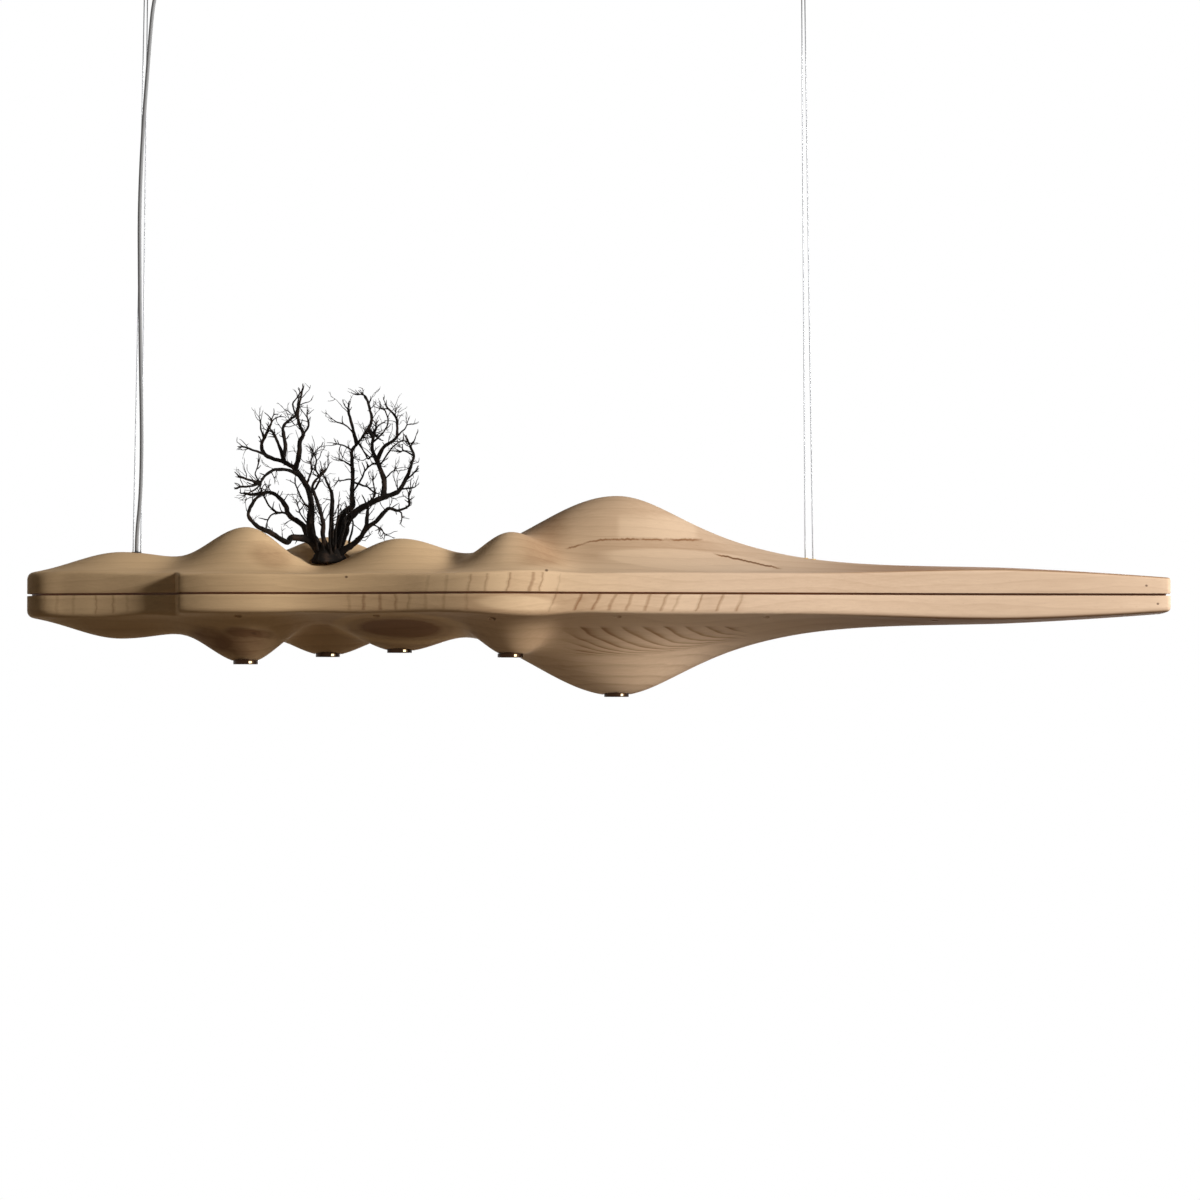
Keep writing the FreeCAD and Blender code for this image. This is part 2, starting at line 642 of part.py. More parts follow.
def make_lamps():
    for number, (x, y, flat, inner) in enumerate(lamps(), 1):
        low = flat - RING_DROP
        neck_top = inner + SINK_NUT
        ring = rod(x, y, low, flat, RING_D).fuse(rod(x, y, flat, neck_top, NECK_D)).removeSplitter()
        ring = ring.cut(rod(x, y, low, neck_top, NECK_BORE_D))
        ring = ring.cut(rod(x, y, low, flat - LENS_SHOULDER, LENS_POCKET_D))
        spanner = Part.makeBox(RING_D, SPANNER_W, RING_DROP - LENS_SHOULDER, Vector(x, y - SPANNER_W / 2, low))
        spanner.rotate(Vector(x, y, low), UP, SPANNER_ANGLE)
        nodes[f"trim_ring_{number}"] = body_place(ring.cut(spanner))

        lens_top = flat - LENS_SHOULDER
        lens = rod(x, y, lens_top - LENS_T, lens_top, LENS_POCKET_D - 2 * FIT_GAP)
        nodes[f"lens_{number}"] = body_place(lens)
        nodes[f"led_board_{number}"] = body_place(rod(x, y, neck_top - BOARD_T, neck_top, BOARD_D))

        sink = rod(x, y, inner, sink_top(inner), SINK_D).cut(rod(x, y, inner, neck_top, NECK_D + 2 * FIT_GAP))
        for fin in range(FIN_COUNT):
            gap_low = neck_top + FIN_T + fin * (FIN_T + FIN_GAP)
            sink = sink.cut(tube(x, y, gap_low, gap_low + FIN_GAP, SINK_D, SINK_CORE_D))
        nodes[f"heat_sink_{number}"] = body_place(sink)


def sink_top(inner):
    return inner + SINK_NUT + FIN_T + FIN_COUNT * (FIN_T + FIN_GAP)


# Electrics

def driver_screw_points():
    reach = DRIVER_L / 2 + DRIVER_EAR / 2
    return [(DRIVER_X - reach, DRIVER_Y + DRIVER_W / 4), (DRIVER_X + reach, DRIVER_Y - DRIVER_W / 4)]


def clamp_screw_ys():
    return [CLAMP_Y - CLAMP_SCREW_Y, CLAMP_Y + CLAMP_SCREW_Y]


def pan_screw(x, y, seat):
    """Screw whose head bears on a level and whose thread reaches through the plate."""
    head = rod(x, y, seat, seat + DRIVER_SCREW_HEAD_H, DRIVER_SCREW_HEAD_D)
    return head.fuse(rod(x, y, -PLATE_HALF, seat, DRIVER_SCREW_D)).removeSplitter()


def make_electrics():
    x, y, seat = grommet_place()
    flange = rod(x, y, seat, seat + GROMMET_FLANGE, GROMMET_D)
    grommet = flange.fuse(rod(x, y, seat - GROMMET_L, seat, GROMMET_NECK_D))
    bore = rod(x, y, 0, TOP, CORD_D + 2 * FIT_GAP)
    nodes["cord_grommet"] = body_place(grommet.removeSplitter().cut(bore))

    level = PLATE_HALF + LEAD_LEVEL
    driver_end = DRIVER_X - DRIVER_L / 2
    lead = [(x, y, seat + GROMMET_FLANGE - FIT_GAP), (x, y, level), (-400, 24, level), (-345, CLAMP_Y, level),
            (-235, CLAMP_Y, level), (-110, 36, level), (20, DRIVER_Y + 6, level), (80, DRIVER_Y, level),
            (driver_end, DRIVER_Y, level)]
    nodes["mains_lead"] = body_place(cord_solid(lead, CORD_D, "mains_lead"))

    clamp = block(CLAMP_X, CLAMP_Y, PLATE_HALF, PLATE_HALF + CLAMP_H, CLAMP_L, CLAMP_W)
    tunnel = Part.makeCylinder(CORD_D / 2 + FIT_GAP, CLAMP_L, Vector(CLAMP_X - CLAMP_L / 2, CLAMP_Y, level),
                               Vector(1, 0, 0))
    clamp = clamp.cut(tunnel)
    ear_level = PLATE_HALF + DRIVER_EAR_T
    clamp = clamp.cut([rod(CLAMP_X, sy, ear_level, PLATE_HALF + CLAMP_H, DRIVER_SCREW_HEAD_D + 2 * FIT_GAP)
                       for sy in clamp_screw_ys()])
    clamp = clamp.cut([rod(CLAMP_X, sy, 0, TOP, DRIVER_SCREW_D) for sy in clamp_screw_ys()])
    nodes["cord_clamp"] = body_place(clamp)
    nodes["clamp_screws"] = body_place(joined([pan_screw(CLAMP_X, sy, ear_level) for sy in clamp_screw_ys()]))

    driver = block(DRIVER_X, DRIVER_Y, PLATE_HALF, PLATE_HALF + DRIVER_H, DRIVER_L, DRIVER_W)
    ears = block(DRIVER_X, DRIVER_Y, PLATE_HALF, ear_level, DRIVER_L + 2 * DRIVER_EAR, DRIVER_W)
    driver = driver.fuse(ears).removeSplitter()
    driver = driver.cut([rod(sx, sy, 0, TOP, DRIVER_SCREW_D) for sx, sy in driver_screw_points()])
    ear_gap = Part.makeBox(DRIVER_EAR, DRIVER_W / 2, DRIVER_EAR_T,
                           Vector(driver_end - DRIVER_EAR, DRIVER_Y - DRIVER_W / 2, PLATE_HALF))
    nodes["led_driver"] = body_place(driver.cut(ear_gap))
    ear_screws = [pan_screw(sx, sy, ear_level) for sx, sy in driver_screw_points()]
    nodes["driver_screws"] = body_place(joined(ear_screws))

    low = -PLATE_HALF - BLOCK_H
    nodes["wiring_block"] = body_place(block(BLOCK_X, DRIVER_Y, low, -PLATE_HALF, BLOCK_L, BLOCK_W))
    level = -PLATE_HALF - LEAD_LEVEL
    west_face = BLOCK_X - BLOCK_L / 2
    tail_face = BLOCK_X + BLOCK_L / 2
    # Each lead rises from its heat sink and runs under the plate to its own entry in the block
    entries = {"pine": (22, west_face, -1), "back": (38, west_face, -1), "round": (8, west_face, -1),
               "front": (-4, west_face, -1), "great": (30, tail_face, 1)}
    leads = []
    for name, (x, y, flat, inner) in zip(LAMP_HILLS, lamps()):
        entry_y, face, side = entries[name]
        near = (face + side * BLOCK_L, entry_y, level)
        route = [(x, y, sink_top(inner)), (x, y, level), near, (face, entry_y, level)]
        leads.append(cord_solid(route, LEAD_D, f"lamp_lead {name}"))
    nodes["lamp_leads"] = body_place(joined(leads))


# Dried branch

# Limbs: thickness at the start and the end, then points of X, Y and Z from the branch's seat
LIMBS = [
    (12.0, 3.4, [(-12, 0, 12), (-27, -3, 30), (-48, -8, 33), (-56, -10, 27), (-77, -14, 40), (-92, -17, 47),
                (-104, -20, 62), (-97, -22, 80), (-89, -22, 87)]),
    (11.0, 3.2, [(-12, 2, 14), (-28, 8, 36), (-36, 13, 50), (-55, 18, 64), (-60, 20, 77), (-73, 25, 91),
                (-86, 30, 95), (-104, 32, 92), (-117, 34, 94)]),
    (13.0, 3.2, [(-8, 0, 14), (-24, 0, 38), (-25, 1, 58), (-24, 2, 72), (-26, 4, 90), (-32, 5, 104),
                 (-46, 8, 124), (-60, 11, 133), (-86, 15, 143), (-91, 17, 157), (-86, 18, 170), (-79, 18, 185)]),
    (6.5, 2.8, [(-60, 11, 133), (-65, 6, 149), (-69, 2, 161), (-74, -2, 172)]),
    (6.5, 2.6, [(-62, 10, 137), (-60, 18, 155), (-63, 24, 170), (-64, 28, 182), (-56, 31, 191), (-48, 33, 198),
                (-46, 34, 208)]),
    (8.0, 2.6, [(-46, 8, 124), (-40, -4, 140), (-38, -8, 159), (-34, -10, 169), (-39, -14, 183), (-40, -17, 195),
                (-37, -20, 212), (-33, -22, 229)]),
    (6.5, 2.8, [(-38, 6, 115), (-52, -6, 121), (-70, -14, 122), (-84, -18, 112), (-88, -20, 104)]),
    (8.5, 2.6, [(0, -4, 14), (-7, -14, 34), (-7, -20, 56), (-18, -26, 92), (-18, -30, 103), (-6, -34, 116)]),
    (8.0, 2.6, [(2, -4, 14), (4, -12, 60), (5, -18, 88), (0, -22, 102), (-4, -26, 112)]),
    (11.5, 2.8, [(4, 4, 14), (12, 9, 50), (18, 12, 66), (29, 16, 76), (28, 18, 92), (29, 20, 112), (28, 22, 134),
                (28, 24, 150), (36, 26, 161), (44, 28, 172)]),
    (6.0, 2.6, [(34, 26, 158), (28, 32, 180), (23, 36, 198), (21, 38, 206)]),
    (13.0, 3.2, [(10, 0, 14), (20, 0, 40), (24, 0, 56), (36, -3, 68), (52, -6, 77), (66, -9, 84), (78, -11, 88),
                 (91, -14, 93), (100, -17, 106), (107, -20, 122), (112, -22, 139), (108, -24, 152)]),
    (9.0, 3.2, [(72, -10, 86), (72, -4, 110), (63, 2, 133), (56, 6, 150), (57, 10, 167), (60, 12, 177)]),
    (6.5, 2.6, [(63, 2, 136), (70, -6, 150), (79, -10, 157), (89, -14, 165), (90, -17, 180), (88, -20, 192),
                (79, -22, 201)]),
    (6.0, 2.6, [(57, 8, 166), (51, 14, 177), (54, 18, 191), (51, 22, 205), (47, 25, 219), (41, 27, 225)]),
    (10.0, 3.2, [(12, -2, 12), (34, -10, 26), (44, -16, 36), (50, -20, 50), (52, -22, 65), (52, -22, 76)]),
    (7.5, 2.6, [(49, -19, 45), (64, -26, 54), (74, -30, 65), (82, -33, 70), (92, -36, 67), (107, -40, 73),
                (107, -42, 83)]),
]
LIMB_SIDES = 6
STUMP_SIDES = 9
# Stump: height above the seat, shift in X and Y, half width and half depth
STUMP_SECTIONS = [(0.0, 0, 0, 20, 17), (6.0, 1, 0, 25, 19), (14.0, 1, 0, 20, 13), (24.0, 0, 0, 11, 8)]


def polygon(centre, along, width, depth, sides):
    """Closed outline of a limb's section, square to the limb."""
    along = Vector(along).normalize()
    across = Vector(0, 1, 0).cross(along)
    across = across.normalize() if across.Length > 0.1 else Vector(1, 0, 0)
    other = along.cross(across)
    corners = [centre + across * width * math.cos(turn) + other * depth * math.sin(turn)
               for turn in (2 * math.pi * side / sides for side in range(sides))]
    return Part.makePolygon(corners + corners[:1])


def limb_solid(first, last, points, base):
    points = [base + Vector(*point) for point in points]
    sections = []
    for index, point in enumerate(points):
        before = points[max(index - 1, 0)]
        after = points[min(index + 1, len(points) - 1)]
        radius = (first + (last - first) * (index / (len(points) - 1)) ** 0.7) / 2
        sections.append(polygon(point, after - before, radius, radius, LIMB_SIDES))
    return Part.makeLoft(sections, True, True)


def make_branch():
    rim = SOCKET_LEVEL + SOCKET_PROUD
    socket = rod(BRANCH_X, BRANCH_Y, rim - SOCKET_L, rim, SOCKET_D)
    socket = socket.cut(rod(BRANCH_X, BRANCH_Y, rim - SOCKET_L + SOCKET_FLOOR, rim, PEG_D + 2 * RUN_GAP))
    nodes["branch_socket"] = body_place(socket)

    base = Vector(BRANCH_X, BRANCH_Y, rim)
    rings = [polygon(base + Vector(x, y, z), UP, width, depth, STUMP_SIDES)
             for z, x, y, width, depth in STUMP_SECTIONS]
    branch = Part.makeLoft(rings, True, True)
    peg = rod(BRANCH_X, BRANCH_Y, rim - PEG_L, rim + PEG_D, PEG_D)
    limbs = [limb_solid(first, last, points, base) for first, last, points in LIMBS]
    nodes["dried_branch"] = body_place(branch.multiFuse([peg] + limbs))


def main():
    make_ceiling()
    make_hanging_line()
    make_halves()
    make_plate()
    make_fasteners()
    make_wire_fittings()
    make_lamps()
    make_electrics()
    make_branch()
    os.makedirs("parts", exist_ok=True)
    for name, shape in nodes.items():
        shape.exportStep(f"parts/{name}.step")


main()
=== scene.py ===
import json
import math
import random
from collections import Counter

import bmesh
import bpy
import numpy as np
from bpy.props import FloatProperty, FloatVectorProperty, IntProperty, PointerProperty
from mathutils import Matrix, Vector, noise
from mathutils.geometry import delaunay_2d_cdt


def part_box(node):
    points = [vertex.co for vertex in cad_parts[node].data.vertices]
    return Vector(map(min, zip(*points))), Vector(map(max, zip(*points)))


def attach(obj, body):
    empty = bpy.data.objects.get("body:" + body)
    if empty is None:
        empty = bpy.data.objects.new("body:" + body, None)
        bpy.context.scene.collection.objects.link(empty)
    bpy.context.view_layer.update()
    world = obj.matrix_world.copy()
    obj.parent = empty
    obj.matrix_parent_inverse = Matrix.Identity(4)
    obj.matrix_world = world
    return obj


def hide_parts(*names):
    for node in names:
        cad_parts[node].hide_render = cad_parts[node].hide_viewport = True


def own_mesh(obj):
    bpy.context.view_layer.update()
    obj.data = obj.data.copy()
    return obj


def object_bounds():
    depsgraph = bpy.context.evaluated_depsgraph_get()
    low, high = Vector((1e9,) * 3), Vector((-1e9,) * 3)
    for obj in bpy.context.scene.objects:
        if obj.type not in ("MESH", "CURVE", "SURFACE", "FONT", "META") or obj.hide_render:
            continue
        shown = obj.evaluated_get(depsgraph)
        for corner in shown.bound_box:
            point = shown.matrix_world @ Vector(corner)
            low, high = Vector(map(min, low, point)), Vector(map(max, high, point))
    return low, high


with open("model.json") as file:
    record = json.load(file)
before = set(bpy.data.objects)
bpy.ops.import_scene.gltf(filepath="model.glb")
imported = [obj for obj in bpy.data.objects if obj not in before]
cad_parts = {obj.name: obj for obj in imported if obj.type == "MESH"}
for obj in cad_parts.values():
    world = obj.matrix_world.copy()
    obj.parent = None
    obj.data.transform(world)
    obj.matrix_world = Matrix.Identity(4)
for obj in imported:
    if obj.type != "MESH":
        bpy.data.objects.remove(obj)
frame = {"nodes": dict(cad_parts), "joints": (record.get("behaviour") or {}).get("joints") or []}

bl_info = {
    "name": "Carved pendant light",
    "version": (1, 0, 0),
    "blender": (4, 5, 0),
    "location": "View3D > Sidebar > Pendant",
    "description": "Dresses the packed model of a carved ash pendant light",
    "category": "Object",
}

CAD_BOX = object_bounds()
MM = 0.001
WELD = 1e-6     # points nearer than this are one point, in metres
UP = Vector((0, 0, 1))
WHITE = (1, 1, 1, 1)

# Places read from the frame
PLATE_LOW, PLATE_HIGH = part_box("spine_plate")
SEAM_Z = (PLATE_LOW.z + PLATE_HIGH.z) / 2
LIFT = next(joint["range_m"][1] for joint in frame["joints"] if joint["name"] == "height")


def srgb(red, green, blue):
    """A colour as a picture shows it, from 0 to 255, in the linear values that Blender wants."""
    return tuple(((part / 255 + 0.055) / 1.055) ** 2.4 for part in (red, green, blue)) + (1.0,)


def dimmed(tint, share):
    """A share of a colour."""
    return tuple(part * share for part in tint[:3]) + (1.0,)


# Settings that a user would change

def colour(label, text, value):
    return FloatVectorProperty(name=label, description=text, subtype="COLOR", size=4, min=0, max=1,
                               default=value)


def length(label, text, value):
    return FloatProperty(name=label, description=text, unit="LENGTH", default=value)


def power(label, text, value):
    return FloatProperty(name=label, description=text, unit="POWER", default=value)


class PendantAshSettings(bpy.types.PropertyGroup):
    pale: colour("Pale wood", "Colour between the growth layers", srgb(228, 198, 168))
    # Painted light: a warmer tint at the west end stands in for the warm light on that shaded side.
    painted_warm_light: colour("Honey wood", "Colour between the growth layers at the west end", srgb(234, 198, 152))
    dark: colour("Dark wood", "Colour of the late growth lines", srgb(156, 116, 82))
    knot: colour("Knots", "Colour of the small knots", srgb(84, 54, 36))
    layer: length("Growth layer", "Distance from one growth line to the next", 15 * MM)
    edge: length("Upper edge", "Radius of the upper half's sanded outer edge", 4 * MM)
    low_edge: length("Lower edge", "Radius of the lower half's sanded outer edge", 6.5 * MM)
    end_edge: length("End rounding", "Radius of the sanded edge around the west end", 9 * MM)
    ease: length("Seam easing", "Radius of the edge at the seam", 0.8 * MM)
    spacing: length("Point spacing", "Distance between the points of the carved surface", 6 * MM)


class PendantBranchSettings(bpy.types.PropertyGroup):
    bark: colour("Bark", "Colour of the dry bark", srgb(23, 18, 14))
    worn: colour("Worn bark", "Colour where the bark has rubbed off", srgb(50, 36, 26))
    seed: IntProperty(name="Seed", description="Changes how the fine twigs grow", default=7)


class PendantLampSettings(bpy.types.PropertyGroup):
    glow: colour("Glow", "Colour of the lit lens", srgb(255, 226, 178))
    strength: FloatProperty(name="Strength", description="Brightness of the lit lens", default=2.5)


class PendantLineSettings(bpy.types.PropertyGroup):
    steel: colour("Wire", "Colour of the steel wires", srgb(158, 159, 161))
    jacket: colour("Cord", "Colour of the power cord's jacket", srgb(158, 158, 158))
    strand_lay: length("Strand lay", "Length of one turn of a wire's strands", 9 * MM)


class PendantStageSettings(bpy.types.PropertyGroup):
    key: power("Side light", "Power of the softbox at the tail side", 196)
    low: power("Low light", "Power of the card under the great hill", 0.08)
    back: power("Back light", "Power of the softbox behind", 110)
    ambient: FloatProperty(name="Room light", description="Level of the light from all round", default=0.06)
    room: colour("Room colour", "Colour of the light from all round", (1.0, 0.87, 0.70, 1.0))
    floor: colour("Floor", "Colour of the floor", srgb(236, 236, 236))


# Shader maths

def arithmetic(operation):
    """A method of Value for an operator and one for its reflected form. Each adds one Math node."""
    def forward(self, other):
        return self.math(operation, self, other)

    def reflected(self, other):
        return self.math(operation, other, self)

    return forward, reflected


class Value:
    """One output of a shader node. Arithmetic on it adds Math nodes."""

    def __init__(self, finish, socket):
        self.finish = finish
        self.socket = socket

    def math(self, operation, first, second):
        return self.finish.add("ShaderNodeMath", {"operation": operation}, {0: first, 1: second})

    def __abs__(self):
        return self.math("ABSOLUTE", self, 0)

    __add__, __radd__ = arithmetic("ADD")
    __sub__, __rsub__ = arithmetic("SUBTRACT")
    __mul__, __rmul__ = arithmetic("MULTIPLY")
    __truediv__, __rtruediv__ = arithmetic("DIVIDE")
    __pow__, __rpow__ = arithmetic("POWER")
    __mod__, __rmod__ = arithmetic("FLOORED_MODULO")


class Finish:
    """A material, or the world, that is built node by node."""

    def __init__(self, name, kind="materials"):
        self.owner = getattr(bpy.data, kind).new(name)
        self.owner.use_nodes = True
        self.tree = self.owner.node_tree
        self.tree.nodes.clear()

    def add(self, kind, settings=None, inputs=None, output=0):
        """Adds a node: first its settings, then its sockets. Gives one of its outputs."""
        node = self.tree.nodes.new(kind)
        for name, setting in (settings or {}).items():
            if name == "stops":
                self.set_stops(node.color_ramp, setting)
            else:
                setattr(node, name, setting)
        for name, value in (inputs or {}).items():
            if isinstance(value, Value):
                self.tree.links.new(value.socket, node.inputs[name])
            else:
                node.inputs[name].default_value = value
        return Value(self, node.outputs[output]) if len(node.outputs) else node

    def set_stops(self, ramp, stops):
        for extra in range(len(stops) - len(ramp.elements)):
            ramp.elements.new(1.0)
        for element, (position, grey) in zip(ramp.elements, stops):
            element.position = position
            element.color = (grey, grey, grey, 1)

    def place(self):
        """Where a point of the surface lies, in metres."""
        return self.add("ShaderNodeTexCoord", output="Object")

    def split(self, vector):
        return [self.add("ShaderNodeSeparateXYZ", None, {0: vector}, axis) for axis in "XYZ"]

    def join(self, x, y, z):
        return self.add("ShaderNodeCombineXYZ", None, {"X": x, "Y": y, "Z": z})

    def stretch(self, vector, scale):
        return self.add("ShaderNodeVectorMath", {"operation": "MULTIPLY"}, {0: vector, 1: scale})

    def noise(self, vector, scale, detail=2.0, roughness=0.5):
        """Smooth noise from 0 to 1; the scale is one number or one for each axis, per metre."""
        if isinstance(scale, tuple):
            vector, scale = self.stretch(vector, scale), 1.0
        return self.add("ShaderNodeTexNoise", None,
                        {"Vector": vector, "Scale": scale, "Detail": detail, "Roughness": roughness})

    def step(self, value, low, high):
        """Rises smoothly from 0 at low to 1 at high."""
        return self.add("ShaderNodeMapRange", {"interpolation_type": "SMOOTHSTEP"},
                        {"Value": value, "From Min": low, "From Max": high})

    def ramp(self, value, stops):
        return self.add("ShaderNodeValToRGB", {"stops": stops}, {"Fac": value})

    def mix(self, share, first, second):
        """Colours mixed by a share."""
        return self.add("ShaderNodeMix", {"data_type": "RGBA"}, {0: share, 6: first, 7: second}, 2)

    def bump(self, height, distance, strength):
        return self.add("ShaderNodeBump", None,
                        {"Height": height, "Distance": distance, "Strength": strength})

    def level(self):
        """How far a surface faces up or down: 0 on an upright one, 1 on a level one."""
        return abs(self.split(self.add("ShaderNodeTexCoord", output="Normal"))[2])

    def looked_at(self):
        """1 for rays from the camera, off a mirror and through glass."""
        seen = self.add("ShaderNodeLightPath", output="Is Camera Ray")
        for ray in ("Is Glossy Ray", "Is Transmission Ray"):
            seen = seen.math("MAXIMUM", seen, self.add("ShaderNodeLightPath", output=ray))
        return seen

    def surface(self, sockets):
        """Ends the material in a Principled shader with these sockets."""
        shader = self.add("ShaderNodeBsdfPrincipled", None, sockets)
        self.add("ShaderNodeOutputMaterial", None, {"Surface": shader})
        return self.owner


# Meshes

def piece_from(bm, name, material, body, node):
    """Turns a bmesh into a piece that rides on a body and stands for a CAD node."""
    mesh = bpy.data.meshes.new(name)
    bm.to_mesh(mesh)
    bm.free()
    mesh.materials.append(material)
    piece = bpy.data.objects.new(name, mesh)
    bpy.context.scene.collection.objects.link(piece)
    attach(piece, body)
    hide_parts(node)
    return piece


def shade(mesh, angle):
    """Smooth shading that breaks at edges sharper than an angle, in degrees."""
    mesh.polygons.foreach_set("use_smooth", [True] * len(mesh.polygons))
    mesh.set_sharp_from_angle(angle=math.radians(angle))


def add_tube(bm, points, radii, sides):
    """Closed round tube along points. Its map runs once around and along in metres."""
    uv = bm.loops.layers.uv.verify()
    side = (points[1] - points[0]).orthogonal().normalized()
    rings = []
    run = [0.0]
    for index, (point, radius) in enumerate(zip(points, radii)):
        along = (points[min(index + 1, len(points) - 1)] - points[max(index - 1, 0)]).normalized()
        side = (side - along * side.dot(along)).normalized()
        other = along.cross(side)
        turns = [2 * math.pi * corner / sides for corner in range(sides)]
        rings.append([bm.verts.new(point + (side * math.cos(turn) + other * math.sin(turn)) * radius)
                      for turn in turns])
        if index:
            run.append(run[-1] + (point - points[index - 1]).length)
    for index in range(len(rings) - 1):
        for corner in range(sides):
            after = (corner + 1) % sides
            face = bm.faces.new((rings[index][corner], rings[index][after],
                                 rings[index + 1][after], rings[index + 1][corner]))
            face.smooth = True
            for loop, (around, level) in zip(face.loops, ((0, 0), (1, 0), (1, 1), (0, 1))):
                loop[uv].uv = ((corner + around) / sides, run[index + level])
    bm.faces.new(rings[0][::-1])
    bm.faces.new(rings[-1])


def spline_points(points, steps):
    """Points along a smooth spline that has the given points as its control points."""
    curve = bpy.data.curves.new("route", "CURVE")
    curve.dimensions = "3D"
    curve.resolution_u = steps
    spline = curve.splines.new("NURBS")
    spline.points.add(len(points) - 1)
    for control, place in zip(spline.points, points):
        control.co = (*place, 1)
    spline.order_u = 3
    spline.use_endpoint_u = True
    holder = bpy.data.objects.new("route", curve)
    mesh = bpy.data.meshes.new_from_object(holder)
    found = [vertex.co.copy() for vertex in mesh.vertices]
    bpy.data.objects.remove(holder)
    bpy.data.curves.remove(curve)
    bpy.data.meshes.remove(mesh)
    return found


def solid_boxes(node):
    """Lowest and highest corner of each separate solid of a CAD node."""
    bm = bmesh.new()
    bm.from_mesh(frame["nodes"][node].data)
    bmesh.ops.remove_doubles(bm, verts=bm.verts, dist=WELD)
    waiting = set(bm.verts)
    boxes = []
    while waiting:
        group = [waiting.pop()]
        for vertex in group:
            for edge in vertex.link_edges:
                other = edge.other_vert(vertex)
                if other in waiting:
                    waiting.remove(other)
                    group.append(other)
        places = np.array([vertex.co for vertex in group])
        boxes.append((Vector(places.min(0)), Vector(places.max(0))))
    bm.free()
    return sorted(boxes, key=lambda box: tuple(box[0]))


# Carved halves

BALANCE_Y = -13.25  # the body's shift towards the front, which keeps its weight under the wires
WALL = 16.0         # wood above the hollow
BAND = 24.0         # height of the edge above the seam
TAIL_RISE = 5.5
TAIL_RISE_FROM = 416.0
TAIL_RISE_OVER = 280.0
TAIL_FALL = 9.5
TAIL_FALL_FROM = 686.0
TAIL_END = 910.0
# Hills in millimetres: centre X and Y, height, reach to the west and tail sides, reach to the front and back
HILLS = {
    "west": (-462, 0, 33, 90, 122, 42, 62),
    "pine": (-297, -15, 65, 76, 66, 48, 66),
    "back": (-196, 58, 55, 84, 84, 46, 46),
    "round": (-96, -12, 50, 80, 97, 55, 74),
    "front": (50, -58, 55, 57, 62, 50, 60),
    "great": (188, 22, 108, 160, 139, 68, 80),
}
CORNER_TURN = 35    # a sharper turn of an outline, in degrees, is a corner
ROUND_END = -0.535  # X from which the edge is rounded more, in metres
ROUND_END_OVER = 0.03
# Distances between points, as shares of the point spacing: on the outline, on the hollow's mouth, inside it
EDGE_SPACING = 0.7
MOUTH_SPACING = 1.5
HOLLOW_SPACING = 2.0
EDGE_CLEARANCE = 0.6    # from the outline to the nearest inner point, in the same way
ROLL_STEPS = 5          # rings over the sanded edge
BAND_STEPS = 4          # rings down the upright band
EASE_SHARE = 0.3        # where the ring between the band and the seam face lies
ONLY_INSIDE = 1         # kind of filling: triangles inside the outline alone
FILL_EXACTNESS = 1e-7


def land(x, y):
    """Height of the carved surface above the seam, in metres, at places in metres."""
    x = np.asarray(x) / MM
    y = np.asarray(y) / MM - BALANCE_Y
    share = np.clip((x - TAIL_RISE_FROM) / TAIL_RISE_OVER, 0, 1)
    fall = np.maximum((x - TAIL_FALL_FROM) / (TAIL_END - TAIL_FALL_FROM), 0)
    band = BAND + TAIL_RISE * share ** 2 * (3 - 2 * share) - TAIL_FALL * fall ** 1.6
    squares = 0
    for name, (hill_x, hill_y, height, west, tail, front, back) in HILLS.items():
        along = (x - hill_x) / np.where(x < hill_x, west, tail)
        across = (y - hill_y) / np.where(y < hill_y, front, back)
        profile = np.exp(-along ** 2)
        if name == "great":
            profile = np.where(x > hill_x, 1 / (1 + along ** 2), profile)
        squares = squares + (height * profile * np.exp(-across ** 2)) ** 2
    return (band + np.sqrt(squares)) * MM


def seam_loops(node, level):
    """Closed outlines of the flat face that a half turns to the seam, the longest first."""
    mesh = frame["nodes"][node].data
    spots = [tuple(round(part, 6) for part in vertex.co) for vertex in mesh.vertices]
    flat = [face for face in mesh.polygons
            if all(abs(mesh.vertices[corner].co.z - level) < WELD for corner in face.vertices)]
    uses = Counter(frozenset((spots[a], spots[b])) for face in flat for a, b in face.edge_keys)
    follows = {}
    for edge, times in uses.items():
        if times == 1:
            a, b = edge
            follows.setdefault(a, []).append(b)
            follows.setdefault(b, []).append(a)
    loops = []
    while follows:
        loop = [next(iter(follows))]
        ahead = follows.pop(loop[0])[0]
        while ahead in follows:
            loop.append(ahead)
            ahead = next((spot for spot in follows.pop(ahead) if spot in follows), None)
        loops.append([Vector(spot[:2]) for spot in loop])
    return sorted(loops, key=around, reverse=True)


def around(loop):
    return sum((a - b).length for a, b in zip(loop, loop[1:] + loop[:1]))


def smooth_loop(loop, spacing):
    """A closed outline with even points, smooth through the given ones except at sharp corners."""
    count = len(loop)
    leaving = []
    arriving = []
    for index, point in enumerate(loop):
        back = point - loop[index - 1]
        ahead = loop[(index + 1) % count] - point
        if back.angle(ahead) > math.radians(CORNER_TURN):
            arriving.append(back.normalized())
            leaving.append(ahead.normalized())
        else:
            slope = back.normalized() * ahead.length + ahead.normalized() * back.length
            arriving.append(slope.normalized())
            leaving.append(slope.normalized())
    found = []
    for index, start in enumerate(loop):
        after = (index + 1) % count
        end = loop[after]
        chord = (end - start).length
        steps = max(1, round(chord / spacing))
        for step in range(steps):
            t = step / steps
            found.append(start * (2 * t ** 3 - 3 * t ** 2 + 1)
                         + leaving[index] * chord * (t ** 3 - 2 * t ** 2 + t)
                         + end * (3 * t ** 2 - 2 * t ** 3)
                         + arriving[after] * chord * (t ** 3 - t ** 2))
    area = sum(a.cross(b) for a, b in zip(found, found[1:] + found[:1]))
    return found if area > 0 else found[::-1]


